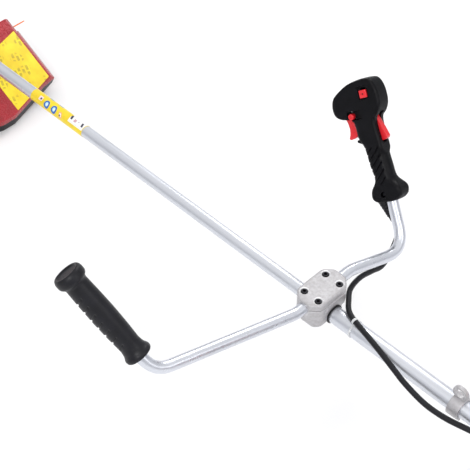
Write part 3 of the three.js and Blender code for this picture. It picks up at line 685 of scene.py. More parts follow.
def make_clamp():
    screw_places = [(i * SCREW_DX, j * SCREW_DY) for i, j in ((1, 1), (1, -1), (-1, 1), (-1, -1))]
    plan, foot = block_plan(26, 42, 12, 28), block_plan(22, 34, 13, 25)

    def bar_bore():
        return drill((0, -60, BAR_RISE), (0, 60, BAR_RISE), BAR_R + 0.1, AT_CLAMP, 72)

    def tube_bores():
        return [drill((-60, 0, 0), (-14.7, 0, 0), SLEEVE_R + 0.1, AT_CLAMP, 72),
                drill((-20, 0, 0), (60, 0, 0), TUBE_R + 0.1, AT_CLAMP, 72)]

    def holes(low, radius):
        return [drill((x, y, low), (x, y, 60), radius, AT_CLAMP, 48) for x, y in screw_places]

    machined = Finish("machined_rim", (0.93, 0.93, 0.94), 0.6, 0.3)
    machined.relief(machined.noise(1800.0, 2.0), 0.03, 0.3)
    cap = slab("fine_clamp_cap", plan, BAR_RISE + 0.2, CLAMP_TOP, 3.2, AT_CLAMP, steps=6)
    rims = [lathe("cutter", [(0, 35), (6, 35), (6, 39.4), (7.7, 41.2), (7.7, 60), (0, 60)],
                  AT_CLAMP @ Matrix.Translation((x, y, 0)), 48, 0.001) for x, y in screw_places]
    carve(cap, bar_bore(), *holes(-30, 3.2), *rims)
    for face in cap.data.polygons:
        spot = AT_CLAMP.inverted() @ (face.center / MM)
        near = min(hypot(spot.x - x, spot.y - y) for x, y in screw_places)
        if 5.9 < near < 7.8 and spot.z < CLAMP_TOP - 0.05:
            face.material_index = 1
    indices = [face.material_index for face in cap.data.polygons]
    dress(cap, "frame", "cast_alloy", "clamp_cap", also=[machined.material])
    cap.data.polygons.foreach_set("material_index", indices)
    middle = slab("fine_clamp_middle", plan, 4, BAR_RISE - 0.2, 1.6, AT_CLAMP)
    merge(middle, slab("foot", foot, 0.2, 8, 0.6, AT_CLAMP))
    carve(middle, bar_bore(), *tube_bores(), *holes(-30, 3.2))
    dress(middle, "frame", "cast_alloy", "clamp_middle")
    base = slab("fine_clamp_base", foot, CLAMP_BOTTOM, -0.2, 4.5, AT_CLAMP, steps=7)
    carve(base, *tube_bores(), *holes(-30, 3.2))
    dress(base, "frame", "cast_alloy", "clamp_base")
    for i, (x, y) in enumerate(screw_places):
        place = AT_CLAMP @ Matrix.Translation((x, y, 0))
        screw = lathe(f"fine_clamp_screw_{i + 1}", [
            (0, CLAMP_BOTTOM + 1), (3, CLAMP_BOTTOM + 1), (3, 35.3), (5, 35.3), (5, 40.6), (0, 40.6),
        ], place, 48, 0.5)
        carve(screw, drill((0, 0, 37.2), (0, 0, 50), 2.9, place, 6))
        dress(screw, "frame", "dark_steel", f"clamp_screw_{i + 1}")


# Left grip

def groove(distance, half_width, depth):
    """The depth of a groove with a round bottom, at a distance from its middle."""
    return depth * max(0.0, 1 - (distance / half_width) ** 2)


def make_left_grip():
    grip = lathe("fine_left_grip", [
        (0, 159.5), (15, 159.5), (16.8, 161.8), (20.4, 161.8), (22.8, 157), (22.8, 147), (17.2, 142),
        (18.2, 112), (18.6, 80), (17.8, 48), (16.4, 22), (17.8, 12), (21.4, 6), (20.6, 0), (10.2, 0),
        (10.2, 154), (0, 154),
    ], AT_GRIP, 150, 3.6, 1.3)

    def depth(p):
        if hypot(p.x, p.y) < 14 or not 20 < p.z < 132:
            return 0.0
        turn = atan2(p.y, p.x)
        inside = smooth(turn, -0.02, 0.1) * (1 - smooth(turn, 2.42, 2.56))
        inside *= smooth(p.z, 26, 29) * (1 - smooth(p.z, 124, 127))
        phase = (p.z - 7.2 * turn) / 15.0
        return inside * groove((phase - round(phase)) * 15.0, 2.1, 2.0)

    press(grip, AT_GRIP, depth)
    dress(grip, "frame", "black_rubber", "left_grip")


# Control handle, in its own frame: X to the front, Y to the left, Z up the grip

FRONT_RAIL = [
    (19, 4), (28, 12), (27, 24), (18, 40), (20.5, 68), (22, 91), (24, 101), (28, 108), (30, 116),
    (29.5, 130), (30.5, 140), (38, 145), (51, 147.5), (61, 155), (63, 168), (58, 182), (40, 194), (18, 203),
]
BACK_RAIL = [
    (-17, 4), (-27, 13), (-27, 24), (-16, 42), (-14, 62), (-12, 97), (-12, 139), (-20, 147), (-27, 160),
    (-27, 186), (-20, 200), (-8, 205),
]
CAVITY = [
    (-8, 99), (11, 99), (11, 143), (27, 153), (53, 158), (56, 166), (51, 179), (36, 189), (15, 198),
    (-7, 200), (-17, 195), (-22, 183), (-22, 162), (-17, 151), (-8, 143),
]
TRIGGER = [
    (22, 160), (25, 164), (32, 164), (44, 154), (48.5, 148), (45, 139), (44, 129), (46, 120), (49.5, 114),
    (47, 111.5), (36, 113.5), (31, 117), (30.5, 125), (33, 135), (32, 143), (25, 151),
]
LEVER = [
    (-9, 143.5), (-6, 146), (-2, 145), (-1, 141), (-3, 104), (-7, 101), (-19, 103), (-22, 107), (-18, 120),
    (-13, 134),
]
SIDEWAYS = AT_HANDLE @ SIDE_ON


def rib(back, front, half, back_round, front_round, count):
    """A ring round a rounded oblong that spans two rail points, as (front, left, up)."""
    span = (front - back).length / 2
    shape = []
    for side, start, size in ((1, 0, front_round), (-1, pi / 2, back_round), (-1, pi, back_round),
                              (1, 3 * pi / 2, front_round)):
        size = min(size, span, half)
        sign = 1 if start < pi else -1
        for k in range(13):
            a = start + pi / 2 * k / 12
            shape.append(Vector((side * (span - size) + size * cos(a), sign * (half - size) + size * sin(a))))
    shape = resampled([Vector((span, 0))] + shape, count, closed=True)
    middle, way = (front + back) / 2, (front - back).normalized()
    return [(middle.x + way.x * p.x, p.y, middle.y + way.y * p.x) for p in shape]


def handle_body():
    ribs, count = 250, 150
    front = resampled(spline(FRONT_RAIL, 14), ribs)
    back = resampled(spline(BACK_RAIL, 14), ribs)
    rings = []
    for i, (a, b) in enumerate(zip(back, front)):
        up = (a.y + b.y) / 2
        gripping = smooth(up, 22, 44) * (1 - smooth(up, 112, 150))
        half = 16.5 - 0.9 * gripping
        back_round = 4.6 + 9.5 * gripping * (1 - smooth(up, 84, 98)) + 3.5 * (1 - smooth(up, 10, 30))
        front_round = 7.0 + 3.5 * gripping
        for end, reach in ((i, 4.5), (ribs - 1 - i, 9.0)):
            near = min(1.0, end * 0.85 / reach)
            shrink = reach * (1 - sqrt(max(0.0, 1 - (1 - near) ** 2)))
            half -= shrink
            a, b = a + (b - a).normalized() * shrink, b + (a - b).normalized() * shrink
        rings.append(rib(a, b, half, back_round, front_round, count))
    body = solid("fine_control_shell_left", *loft(rings), AT_HANDLE)

    def depth(p):
        if not 24 < p.z < 106 or p.x < -8:
            return 0.0
        inside = smooth(p.x, -7.5, -5.5) * smooth(p.z, 32, 35) * (1 - smooth(p.z, 94, 97))
        phase = (p.z + 0.95 * p.x) / 12.6
        return inside * groove((phase - round(phase)) * 12.6, 2.1, 1.9)

    press(body, AT_HANDLE, depth)
    clean(body)
    return body


def make_control_handle():
    start = AT_HANDLE @ Vector((20, 0, 10))
    lead = (AT_HANDLE @ Vector((14, -8, -25)) - start).normalized()
    body = handle_body()
    hook = rounded([(12, 100), (26, 101.5), (34.5, 105.8), (34, 109.8), (27, 108.5), (12, 109)], 2.4)
    hook = slab("hook", hook, -8, 8, 2.0, SIDEWAYS)
    merge(body, hook)
    carve(
        body,
        slab("cutter", rounded(CAVITY, 3), -12.5, 8.2, 2.0, SIDEWAYS),
        drill((0, 0, -10), (0, 0, 93), BAR_R + 0.15, AT_HANDLE, 64),
        notch((20, 50.5), (-6.6, 6.6), (110.5, 162), 1.0, AT_HANDLE),
        notch((-40, -6), (-5.7, 5.7), (98, 148), 1.2, AT_HANDLE),
        notch((10, 36), (9, 30), (142, 157), 2.0, AT_HANDLE),
        drill((30, 6, 148.5), (30, 30, 148.5), 5.5, AT_HANDLE),
        drill((4, -30, 17), (4, 30, 17), 2.4, AT_HANDLE),
        drill((4, 11, 17), (4, 30, 17), 4.8, AT_HANDLE),
        notch((-12, 6), (13.4, 30), (172, 193.3), 1.2, AT_HANDLE),
        notch((-8, 2), (5, 30), (175.9, 190.3), 0.6, AT_HANDLE),
        drill(start - lead * 0.3, start + lead * 40, 8.2, None, 48),
    )
    other = body.copy()
    other.data = body.data.copy()
    other.name = "fine_control_shell_right"
    bpy.context.scene.collection.objects.link(other)
    carve(body, cutter((-90, 90), (-60, 0.12), (-30, 250), AT_HANDLE))
    carve(other, cutter((-90, 90), (-0.12, 60), (-30, 250), AT_HANDLE))
    dress(body, "frame", "black_plastic", "control_shell_left")
    dress(other, "frame", "black_plastic", "control_shell_right")

    trigger = slab("fine_throttle_trigger", rounded(TRIGGER, 2.6, steps=6), -6, 6, 1.8, SIDEWAYS, rows=3)
    carve(trigger, drill((28, -10, 158), (28, 10, 158), 2.15, AT_HANDLE))
    dress(trigger, "throttle_trigger", "red_plastic", "throttle_trigger")
    lever = slab("fine_lock_lever", rounded(LEVER, 2.2, steps=6), -5.2, 5.2, 1.4, SIDEWAYS, rows=3)
    carve(lever, drill((-5, -10, 141.5), (-5, 10, 141.5), 1.65, AT_HANDLE))
    dress(lever, "lock_lever", "red_plastic", "lock_lever")

    switch = block("fine_stop_switch", (-9.5, 3.5), (13.6, 17.9), (174.3, 186.8), 1.0, AT_HANDLE)
    merge(switch, block("stem", (-6.5, 0.5), (8, 15), (177.3, 184.8), 0.5, AT_HANDLE))
    carve(switch, drill((-3, 17.2, 180.5), (-3, 30, 180.5), 1.7, AT_HANDLE))
    dress(switch, "stop_switch", "red_plastic", "stop_switch")
    button = rod("fine_half_throttle_button", (30, 9.2, 148.5), (30, 16.2, 148.5), 5.2, 5.0, 1.3, 48,
                 AT_HANDLE)
    carve(button, rod("cutter", (30, 15.5, 148.5), (30, 20, 148.5), 2.6, 3.0, 0.3, 40, AT_HANDLE))
    dress(button, "half_throttle_button", "red_plastic", "half_throttle_button")
    screw = lathe("fine_handle_screw", [
        (0, -14), (2, -14), (2, 10.6), (4, 10.6), (4, 12.3), (2.6, 13.3), (0, 13.3),
    ], AT_HANDLE @ Matrix.Translation((4, 0, 17)) @ Matrix.Rotation(-pi / 2, 4, "X"), 40, 0.4)
    carve(screw, *(notch((4 - a, 4 + a), (11.7, 20), (17 - b, 17 + b), 0.2, AT_HANDLE)
                   for a, b in ((0.5, 2.6), (2.6, 0.5))))
    dress(screw, "frame", "dark_steel", "handle_screw")

    def waist(share, angle):
        return 8 - 2.3 * share - 0.3 * (1 - cos(12 * pi * share))

    boot = sweep("fine_cable_boot", [start + lead * k for k in range(33)], waist, 40, CABLE_R + 0.15)
    dress(boot, "frame", "black_rubber", "cable_boot")


# Throttle cable and its clips

def cable_route():
    def beside(x, y, z):
        return Vector((CLAMP_X + x, y, AXIS_Z + z))

    start, second, third = (AT_HANDLE @ Vector(p) for p in ((20, 0, 10), (14, -8, -25), (10, -13, -46)))
    return spline([
        start, start.lerp(second, 0.5), second, third,
        beside(5, -184, -5), beside(0, -165, -16), beside(-7, -137, -16), beside(-7.8, -110.5, -6),
        beside(-9, -80, 4), beside(-16, -50, 8), beside(-32.8, -26.6, 13), beside(-49, -9, 17.5),
        beside(-66, 0.2, 20.2), beside(-76.3, 3, 20.2),
        beside(-121, 13, 17), beside(-168, 23, 9), beside(-190, 28, 6), beside(-234, 33, 1),
        beside(-270, 31, 0), beside(-306, 24, 1), beside(-328, 19.4, 1), beside(-342, 22, 5),
        beside(-360, 33, 16), beside(-385, 47, 33), beside(-415, 57, 50), beside(-450, 60, 62),
        beside(-488, 52, 62),
    ], 10)


def make_cable():
    route = cable_route()

    def section(share, angle):
        seam = min(abs(angle - 1.2), 2 * pi - abs(angle - 1.2))
        return CABLE_R - 0.45 * max(0.0, 1 - (seam / 0.28) ** 2)

    cable = sweep("fine_throttle_cable", route, section, 36)
    dress(cable, "frame", "black_rubber", "throttle_cable")
    for name, x, slot in (("cable_clip_front", CLAMP_X - 70, "clear_plastic"),
                          ("cable_clip_rear", CLAMP_X - 328, "black_plastic")):
        i = min(range(40, len(route)), key=lambda k: abs(route[k].x - x))
        spot, way = route[i], (route[i + 1] - route[i - 1]).normalized()
        strap = turned_x("fine_" + name, SLEEVE_R + 0.05, SLEEVE_R + 1.0, x - 1.8, x + 1.8, 0.4)
        loop = lathe("loop", [(CABLE_R + 0.1, -2), (CABLE_R + 1, -2), (CABLE_R + 1, 2), (CABLE_R + 0.1, 2)],
                     between(spot, spot + way)[0], 48, 0.4)
        centre = Vector((x, 0, AXIS_Z))
        out = (Vector((x, spot.y, spot.z)) - centre).normalized()
        neck = rod("neck", centre + out * (SLEEVE_R + 0.5), spot - out * (CABLE_R + 0.4), 1.8, 1.8, 0.3)
        merge(strap, loop, neck)
        dress(strap, "frame", slot, name)


# Harness bracket

def make_bracket():
    x = BRACKET_X
    bracket = turned_x("fine_harness_bracket", SLEEVE_R + 0.05, 18.6, x - 10, x + 10, 1.4)
    lug = slab("lug", circle(13, 64), -3, 3, 0.9,
               Matrix.Translation((x, 0, AXIS_Z + 30)) @ Matrix.Rotation(pi / 2, 4, "X"))
    merge(bracket, lug, block("web", (x - 9.5, x + 9.5), (-3, 3), (AXIS_Z + 15, AXIS_Z + 27), 0.8))
    ear = block("ear", (x - 8, x + 8), (-5, 5), (AXIS_Z - 27, AXIS_Z - 15), 1.2)
    merge(bracket, ear)
    carve(bracket, drill((x, -9, AXIS_Z + 31), (x, 9, AXIS_Z + 31), 8, None, 56),
          drill((x - 30, 0, AXIS_Z), (x + 30, 0, AXIS_Z), SLEEVE_R + 0.05, None, 80),
          cutter((x - 30, x + 30), (-1.2, 1.2), (AXIS_Z - 40, AXIS_Z - 10)))
    dress(bracket, "frame", "cast_alloy", "harness_bracket")


# Cutting head, in its own frame with Z up its axis

def up_tube(distance):
    return -cos(HEAD_TILT) * distance, 0, sin(HEAD_TILT) * distance


def bolts(name, spots, way, place=None, radius=3.6, height=3.0, body="frame"):
    """Socket screw heads at the spots, all facing the same way, as one piece."""
    heads = []
    for spot in spots:
        at = (place or Matrix()) @ between(spot, Vector(spot) + Vector(way))[0]
        head = lathe(name, [(0, -0.4), (radius, -0.4), (radius, height), (0, height)], at, 32, 0.5)
        heads.append(carve(head, drill((0, 0, 0.4 * height), (0, 0, 9), 0.55 * radius, at, 6)))
    if heads[1:]:
        merge(*heads)
    return dress(heads[0], body, "dark_steel")


def make_gearbox():
    """The bevel gear housing, with its clamp on the tube and the flange that holds the guard."""
    case = lathe("fine_gear_housing", [
        (0, 20), (12, 20), (24, 13), (27, 6), (27, -32), (34, -38), (34, -45.7), (0, -45.7),
    ], AT_HEAD, 96, 2.2)
    merge(case, rod("neck", up_tube(6), up_tube(74), 19, 15.5, 1.2, 80, AT_HEAD),
          block("lug", (-66, -44), (-7, 7), (8, 22), 1.5, AT_HEAD),
          *(block("fin", (-25.8, 25.8), (k - 1, k + 1), (-30, 8.5), 0.8, AT_HEAD) for k in (-8, 8)),
          rod("plug", (20, 0, -8), (30.5, 0, -8), 6.5, 6.0, 0.8, 6, AT_HEAD))
    carve(case, drill(up_tube(34), up_tube(80), TUBE_R + 0.1, AT_HEAD, 72),
          drill(up_tube(26), up_tube(40), 6, AT_HEAD), drill(up_tube(0), up_tube(27), 15, AT_HEAD),
          lathe("cutter", [(0, 13), (10, 13), (22.5, 5), (22.5, -18), (0, -18)], AT_HEAD, 64, 0.001),
          drill((0, 0, -16), (0, 0, -60), 8, AT_HEAD),
          cutter((-80, -52), (-30, 30), (-0.6, 0.6), AT_HEAD @ Matrix.Rotation(HEAD_TILT, 4, "Y")))
    dress(case, "frame", "cast_alloy", "gear_housing")
    bolts("fine_gear_bolts", [(-50, -7, 15), (-60, -7, 15)], (0, -1, 0), AT_HEAD)
    ring_spots = [(29.5 * cos(a), 29.5 * sin(a), -37.9) for a in (0.6, 2.2, -0.6, -2.2)]
    bolts("fine_flange_bolts", ring_spots, (0, 0, 1), AT_HEAD, 2.6, 2.4)


def make_line_head():
    case = lathe("fine_head_housing", [
        (0, -50), (16, -50), (30, -54), (52, -62), (57, -70), (57, -88), (53, -88), (53, -72), (48, -66),
        (26, -59), (0, -58),
    ], AT_HEAD, 120, 1.6)
    carve(case, drill((0, 0, -40), (0, 0, -70), 6.1, AT_HEAD),
          drill((0, -70, -78), (0, 70, -78), 3.2, AT_HEAD),
          *(drill((x, y, -95), (x, y, -76), 2.6, AT_HEAD) for x, y in circle(57.8, 24, pi / 24)))
    dress(case, "head", "black_plastic", "head_housing")
    eyelets = [rod("eyelet", (0, 53.4 * j, -78), (0, 58.6 * j, -78), 4.6, 4.6, 0.8, 40, AT_HEAD)
               for j in (1, -1)]
    merge(*eyelets)
    carve(eyelets[0], drill((0, -70, -78), (0, 70, -78), 2.2, AT_HEAD))
    eyelets[0].name = "fine_eyelets"
    dress(eyelets[0], "head", "steel")
    spool = lathe("fine_line_spool", [
        (8, -66), (40, -69), (40, -72), (18, -73), (18, -86), (42, -87), (42, -90), (8, -90),
    ], AT_HEAD, 96, 0.7)
    carve(spool, cutter((-2.6, 2.6), (-30, 30), (-84.6, -75.4), AT_HEAD))
    dress(spool, "feed", "black_plastic", "line_spool")
    knob = lathe("fine_bump_knob", [
        (0, -92), (24, -92), (47, -91.4), (48, -95), (34, -103), (24, -112), (12, -115), (0, -115),
    ], AT_HEAD, 120, 2.0)
    carve(knob, *(rod("cutter", (*a, -107), (*b, -119), 4.5, 4.5, 1.5, 24, AT_HEAD)
                  for a, b in zip(circle(43, 10), circle(33, 10))))
    dress(knob, "feed", "black_plastic", "bump_knob")
    line = [AT_HEAD @ Vector((0, y, -78)) for y in range(-170, 171, 10)]

    def twist(share, angle):
        return 1.3 - 0.12 * (1 + cos(4 * angle + 60 * share))

    dress(sweep("fine_cutting_line", line, twist, 24), "head", "line_nylon", "cutting_line")


def guard_plan(foot, inset):
    """The guard's outline at its foot, or at the top of its walls, which lean in along the rear edge."""
    lean, back = 0 if foot else 4, 0.35 * inset
    half = [(12, 135 - inset), (-139 + back, 135 - inset), (-148.5 + back + lean, 100.3 - 0.1 * inset),
            (-GUARD_TAIL + back + lean, 14)]
    points = half + [(x, -y) for x, y in half[::-1]]
    return rounded(points, 2.5, steps=5)


def guard_shell(name, levels):
    """A skin over the guard's outline at several levels, each (at the foot, inset, height)."""
    rings = [[(p.x, p.y, z) for p in guard_plan(foot, inset)] for foot, inset, z in levels]
    return solid(name, *loft(rings), AT_HEAD)


def make_guard():
    foot = (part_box("guard")[0][2] / MM - AXIS_Z + GUARD_TAIL * sin(HEAD_TILT)) / cos(HEAD_TILT)
    guard = guard_shell("fine_guard", [
        (True, 0.9, foot), (True, 0.1, foot + 0.8), (True, 0, foot + 2), (False, 0, -57),
        (False, 0.6, -55.4), (False, 1.6, -54), (False, 8.5, -47.4), (False, 9.6, -46.4),
        (False, 11, GUARD_TOP),
    ])
    hollow = guard_shell("cutter", [
        (True, 10, foot - 5), (True, 3.5, foot), (False, 3.5, -59), (False, 14, -50),
    ])
    carve(guard, hollow, cutter((-20, 40), (-150, 150), (-246, -49), AT_HEAD),
          drill((0, 0, -60), (0, 0, -30), 17, AT_HEAD, 72))
    ribs = [block("rib", (-135, -30), (y - 1.2, y + 1.2), (-62, -48.5), 0.8, AT_HEAD) for y in (-60, 0, 60)]
    ribs.append(block("rib", (-60, -57.6), (-122, 122), (-60, -48.5), 0.8, AT_HEAD))
    ribs.append(slab("collar", circle(30, 64), -52, -48.5, 0.6, AT_HEAD))
    merge(guard, *ribs)
    carve(guard, drill((0, 0, -60), (0, 0, -30), 17, AT_HEAD, 72))
    back = AT_HEAD.inverted()
    for face in guard.data.polygons:
        spot, way = back @ (face.center / MM), back.to_3x3() @ face.normal
        face.material_index = int(way.x < -0.7 and abs(way.z) < 0.5 and spot.x < -138 and spot.z < -57)
    indices = [face.material_index for face in guard.data.polygons]
    dress(guard, "frame", "guard_plastic", "guard", also=[FINISHES["black_plastic"]])
    guard.data.polygons.foreach_set("material_index", indices)
    corners = [(-18, -121.5), (-133.5, -121.5), (-141.3, -94), (-160, -24), (-58, -24), (-36, -44)]
    panel = slab("fine_guard_panel", rounded(corners, 1.5), GUARD_TOP + 0.02, GUARD_TOP + 0.5, 0.15, AT_HEAD)
    panel.data.materials.append(FINISHES["guard_panel"])
    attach(panel, "frame")
    bolts("fine_guard_bolts", [(-24, 40, GUARD_TOP), (-24, -40, GUARD_TOP)], (0, 0, 1), AT_HEAD, 4.5)
    blade = [(-100, -76), (-60, -76), (-60, -56), (-66, -56), (-100, -70)]
    blade = slab("fine_line_cutter", blade, 124, 125.2, 0.15, AT_HEAD @ SIDE_ON)
    carve(blade, drill((-70, 120, -62), (-70, 130, -62), 1.8, AT_HEAD))
    dress(blade, "frame", "steel", "line_cutter")
    bolts("fine_cutter_bolt", [(-70, 123.9, -62)], (0, -1, 0), AT_HEAD, 3.2, 2.0)


# Engine, about the crankshaft on the drive tube's axis

STARTER_WAY = Vector((0, sin(radians(35)), cos(radians(35))))
CYLINDER_FOOT = AXIS_Z + 40.3
CYLINDER_TOP = CYLINDER_FOOT + 66
BORE_X = 44.5


def turned(name, profile, edge=1.0, sides=96):
    """A turned piece about the crankshaft, from [radius, x] corners."""
    return lathe(name, profile, ALONG_X, sides, edge)


def around(radius, x, count, phase=0.0):
    """Points evenly round the crankshaft's axis, at one X."""
    return [(x, y, AXIS_Z + z) for y, z in circle(radius, count, phase)]


def make_transmission():
    case = turned("fine_clutch_housing", [
        (58, 84), (66, 84), (66, 112), (52, 150), (24, 168), (20, 174), (20, 206), (14.1, 206), (14.1, 171),
        (9, 171), (9, 164), (22, 160), (43, 147), (43, 115), (58, 108),
    ], 1.6, 120)
    merge(case, block("lug", (180, 200), (-6, 6), (AXIS_Z - 30, AXIS_Z - 16), 1.5))
    carve(case, cutter((174, 210), (-0.8, 0.8), (AXIS_Z - 40, AXIS_Z - 12)))
    dress(case, "frame", "cast_alloy", "clutch_housing")
    bolts("fine_clutch_clamp_bolt", [(190, -6, AXIS_Z - 24)], (0, -1, 0))
    bolts("fine_clutch_bolts", around(54.6, 144.6, 6, 0.26), (1, 0, 0), None, 2.8, 3.4)


def make_block():
    case = block("fine_crankcase", (16, 78), (-40, 40), (AXIS_Z - 46, AXIS_Z + 40), 3.0)
    merge(case, turned("flange", [(0, 75), (63, 75), (63, 83.7), (0, 83.7)], 1.2),
          turned("boss", [(0, 6), (24, 6), (24, 20), (0, 20)], 1.2),
          *(block("rib", (15, 79), (y - 1.5, y + 1.5), (AXIS_Z - 44, AXIS_Z + 36), 1.0) for y in (-41, 41)))
    carve(case, turned("cutter", [(0, 26), (31, 26), (31, 63), (0, 63)], 0.001, 64),
          turned("cutter", [(0, 0), (8.4, 0), (8.4, 90), (0, 90)], 0.001, 48),
          turned("cutter", [(0, 79), (51, 79), (51, 90), (0, 90)], 0.001, 96),
          drill((BORE_X, 0, AXIS_Z + 10), (BORE_X, 0, AXIS_Z + 60), 17, None, 64))
    dress(case, "frame", "cast_alloy", "crankcase")
    sides = [(x, 42, AXIS_Z + z) for x in (24, 70) for z in (-38, 30)]
    bolts("fine_crankcase_bolts_left", sides, (0, 1, 0))
    bolts("fine_crankcase_bolts_right", [(x, -y, z) for x, y, z in sides], (0, -1, 0))

    cylinder = block("fine_cylinder", (22, 67), (-24, 24), (CYLINDER_FOOT, CYLINDER_TOP), 3.0, None, 9)
    merge(cylinder, *(block("fin", (14.5, 74.5), (-32, 32), (z, z + 2.5), 0.9, None, 10)
                      for z in (CYLINDER_FOOT + 12 + 9 * k for k in range(6))))
    carve(cylinder, drill((BORE_X, 0, CYLINDER_FOOT - 9), (BORE_X, 0, CYLINDER_TOP - 12), 17, None, 64),
          drill((BORE_X, 0, CYLINDER_TOP - 20), (BORE_X, 0, CYLINDER_TOP + 5), 5.4))
    dress(cylinder, "frame", "cast_alloy", "cylinder")
    at_top = Matrix.Translation((BORE_X, 0, CYLINDER_TOP))
    plug = lathe("fine_spark_plug", [
        (0, -14), (5, -14), (5, 0.5), (7, 0.5), (7, 8), (4.5, 9), (4.5, 20), (0, 20),
    ], at_top, 48, 0.5)
    merge(plug, rod("hex", (0, 0, 1.5), (0, 0, 7), 8.5, 8.5, 0.3, 6, at_top))
    dress(plug, "frame", "steel", "spark_plug")
    boot = rod("fine_plug_boot", (0, 0, 9.4), (0, 0, 28), 8.5, 7.6, 2.0, 48, at_top)
    merge(boot, rod("lead", (0, 0, 21), (-24.5, 0, 21), 5.5, 4.5, 1.2, 40, at_top),
          *(rod("ring", (0, 0, z), (0, 0, z + 1.6), 8.9, 8.9, 0.6, 48, at_top) for z in (10.5, 14, 17.5)))
    carve(boot, drill((0, 0, 0), (0, 0, 21), 4.9, at_top))
    dress(boot, "frame", "black_rubber", "plug_boot")


def make_breathing():
    """Muffler, carburettor, air filter, choke and primer."""
    def plan(grow, corner):
        x0, x1, z0, z1 = 14 - grow, 74 + grow, 199 - grow, 253 + grow
        return rounded([(x0, z0), (x1, z0), (x1, z1), (x0, z1)], corner)

    muffler = slab("fine_muffler", plan(0, 9), -74, -36, 4.0, SIDE_ON, steps=6)
    port = block("port", (34, 56), (-40, -32.5), (214, 236), 1.0)
    seam = slab("seam", plan(1.4, 10), -56.4, -54, 0.8, SIDE_ON)
    merge(muffler, port, seam, rod("pipe", (45, -70, 240), (45, -76.5, 240), 8, 7.6, 0.6))
    carve(muffler, drill((45, -90, 240), (45, -60, 240), 6),
          *(notch((22, 36), (-80, -72.6), (z, z + 3), 0.8) for z in (210, 218, 226)))
    dress(muffler, "frame", "steel", "muffler")
    bolts("fine_muffler_bolts", [(20.5, -73.8, 247), (67.5, -73.8, 205)], (0, -1, 0))

    carburettor = block("fine_carburettor", (28, 62), (32.5, 62), (200, 232), 1.6)
    merge(carburettor, rod("bowl", (45, 50, 225), (45, 50, 240), 9, 8.6, 1.0),
          rod("inlet", (60, 52, AXIS_Z + 62), (69.5, 52, AXIS_Z + 62), 6, 5.6, 0.8))
    carve(carburettor, drill((45, 20, 216), (45, 70, 216), 9))
    dress(carburettor, "frame", "cast_alloy", "carburettor")
    corners = [(x, y, 232) for x in (32.5, 57.5) for y in (37, 57.5)]
    bolts("fine_carburettor_bolts", corners, (0, 0, 1), None, 2.2, 2)

    lid = slab("fine_air_filter_cover", rounded([
        (8, 190), (16, 182), (70, 182), (80, 190), (80, 236), (68, 248), (20, 248), (8, 236),
    ], 6), 64, 104, 6.0, SIDE_ON, steps=6)
    merge(lid, *(block("rib", (22, 66), (103, 104.8), (z, z + 3), 0.8) for z in (192, 199, 206)))
    carve(lid, cutter((12, 76), (50, 92), (190, 238)),
          notch((30, 60), (102.6, 110), (214, 230), 2.0))
    dress(lid, "frame", "black_plastic", "air_filter_cover")
    knob = rod("fine_choke_lever", (20, 104.9, 226), (20, 108, 226), 7, 7, 0.8, 48)
    merge(knob, block("arm", (17.5, 22.5), (105, 108), (206, 226), 0.9))
    dress(knob, "choke_lever", "red_plastic", "choke_lever")
    bulb = rod("fine_primer_bulb", (22, 47, 206), (14, 47, 206), 9, 6.5, 3.2, 56)
    dress(bulb, "primer_bulb", "clear_plastic", "primer_bulb")


def make_engine_cover():
    cover = slab("fine_engine_cover", rounded([
        (0, 240), (82, 240), (82, 290), (70, 304), (10, 304), (0, 292),
    ], 7), -81.5, 60.5, 6.0, SIDE_ON, rows=3, steps=6)
    slots = range(-58, 33, 18)
    carve(cover, cutter((4, 78), (-76, 55), (230, 288)), cutter((12.5, 69.5), (-73.5, 52.5), (280, 300.5)),
          cutter((-20, 100), (-100, 80), (230, 252)),
          *(notch((-10, 20), (y, y + 9), (262, 286), 1.5) for y in slots),
          *(notch((76, 90), (y, y + 9), (262, 280), 1.5) for y in slots),
          *(notch((22, 60), (y, y + 3), (303, 310), 1.0) for y in range(-56, 40, 12)))
    dress(cover, "frame", "red_plastic", "engine_cover")
    bolts("fine_cover_bolts", [(62, -66, 303.6), (62, 46, 303.6)], (0, 0, 1), None, 4.0, 2.4)


def make_tank():
    def plan(inset):
        x0, x1, y = -58 + inset, 78 - inset, 76 - inset
        return rounded([(x0, -y), (x1, -y), (x1, y), (x0, y)], 12, steps=6)

    tank = slab("fine_fuel_tank", plan(0.6), 5.3, 82, 7.0, None, 3, 7)
    merge(tank, rod("neck", (-38, 58, 70), (-38, 58, 90), 13.5, 13.5, 0.8, 64),
          slab("seam", plan(0), 50.6, 53.4, 0.7))
    carve(tank, slab("cutter", plan(4.5), 9, 78, 3.0), drill((-38, 58, 60), (-38, 58, 95), 10, None, 56))
    dress(tank, "frame", "tank_plastic", "fuel_tank")
    at_neck = Matrix.Translation((-38, 58, 0))
    cap = lathe("fine_fuel_cap", [(0, 78), (9, 78), (9, 90.4), (16.5, 90.4), (16.5, 99), (14, 102), (0, 102)],
                at_neck, 96, 1.0)
    carve(cap, *(drill((x, y, 88), (x, y, 110), 1.5, at_neck, 16) for x, y in circle(17.2, 18)))
    merge(cap, block("grip", (-12, 12), (-2, 2), (101, 104.5), 1.2, at_neck))
    dress(cap, "fuel_cap", "black_plastic", "fuel_cap")
    stand = block("fine_engine_stand", (-66, 86), (-84, 84), (0, 50), 2.5, None, 14)
    carve(stand, notch((-60, 80), (-78.5, 78.5), (5, 70), 2.0, None, 10),
          notch((-90, 60), (-100, 100), (23, 70), 2.0),
          notch((60, 110), (-50, 50), (23, 70), 2.0),
          *(notch((-70, 90), (y - 7, y + 7), (-3, 1.4), 0.8) for y in (-42, 0, 42)))
    dress(stand, "frame", "black_plastic", "engine_stand")


def starter_spot(x, reach):
    """A point on the starter rope's line, at its distance from the crankshaft's axis."""
    return Vector((x, 0, AXIS_Z)) + STARTER_WAY * reach


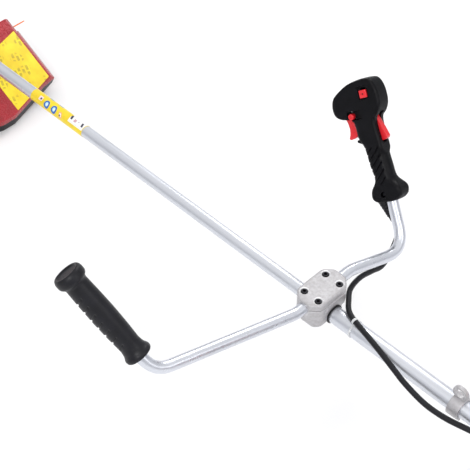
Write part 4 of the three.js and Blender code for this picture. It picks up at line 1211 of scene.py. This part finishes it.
def make_starter():
    case = turned("fine_starter_housing", [
        (0, -56), (50, -56), (60, -50), (63, -40), (63, 13), (60, 13), (60, -40), (48, -52), (8, -52),
        (8, -31), (0, -31),
    ], 1.3, 120)
    merge(case, turned("ring", [(33, -57.4), (38, -57.4), (38, -54), (33, -54)], 0.8))
    carve(case, *(notch((-70, -50), (-28, 28), (z - 3, z + 3), 1.4)
                  for z in (AXIS_Z + k for k in (-30, -12, 12, 30))),
          drill(starter_spot(-40, 0), starter_spot(-40, 100), 3))
    dress(case, "frame", "red_plastic", "starter_housing")
    bolts("fine_starter_bolts", around(54.5, -53, 4, 0.3), (-1, 0, 0), None, 3.0, 2.6)
    pulley = turned("fine_starter_pulley", [
        (8.3, -46), (36, -46), (36, -43), (30, -42), (30, -38), (36, -37), (36, -34), (8.3, -34),
    ], 0.6)
    dress(pulley, "starter_pulley", "black_plastic", "starter_pulley")

    handle = rod("fine_starter_handle", starter_spot(-40, 63.6), starter_spot(-40, 84), 5, 8, 1.0, 56)
    merge(handle, rod("bar", starter_spot(-66, 84), starter_spot(-14, 84), 7, 7, 2.6, 56),
          *(rod("ring", starter_spot(x, 84), starter_spot(x + 2, 84), 7.5, 7.5, 0.6, 56)
            for x in (-60, -55, -26, -21)))
    dress(handle, "starter_handle", "black_plastic", "starter_handle")


def finish_inner_parts():
    """The CAD nodes that are kept as they are, deep inside the housings."""
    kept = {
        "steel": ["drive_shaft", "drive_pinion", "output_gear", "clutch_drum", "crankshaft", "trigger_pin",
                  "lever_pin"],
        "cast_alloy": ["flywheel"], "dark_steel": ["clutch_shoe_1", "clutch_shoe_2"],
        "black_rubber": ["shaft_bush"],
    }
    for slot, nodes in kept.items():
        for node in nodes:
            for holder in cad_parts[node].material_slots:
                holder.material = FINISHES[slot]


FINISHES = make_finishes()
set_camera()
set_studio()
set_floor()
make_tubes()
make_clamp()
make_left_grip()
make_control_handle()
make_cable()
make_bracket()
make_gearbox()
make_line_head()
make_guard()
make_transmission()
make_block()
make_breathing()
make_engine_cover()
make_tank()
make_starter()
finish_inner_parts()
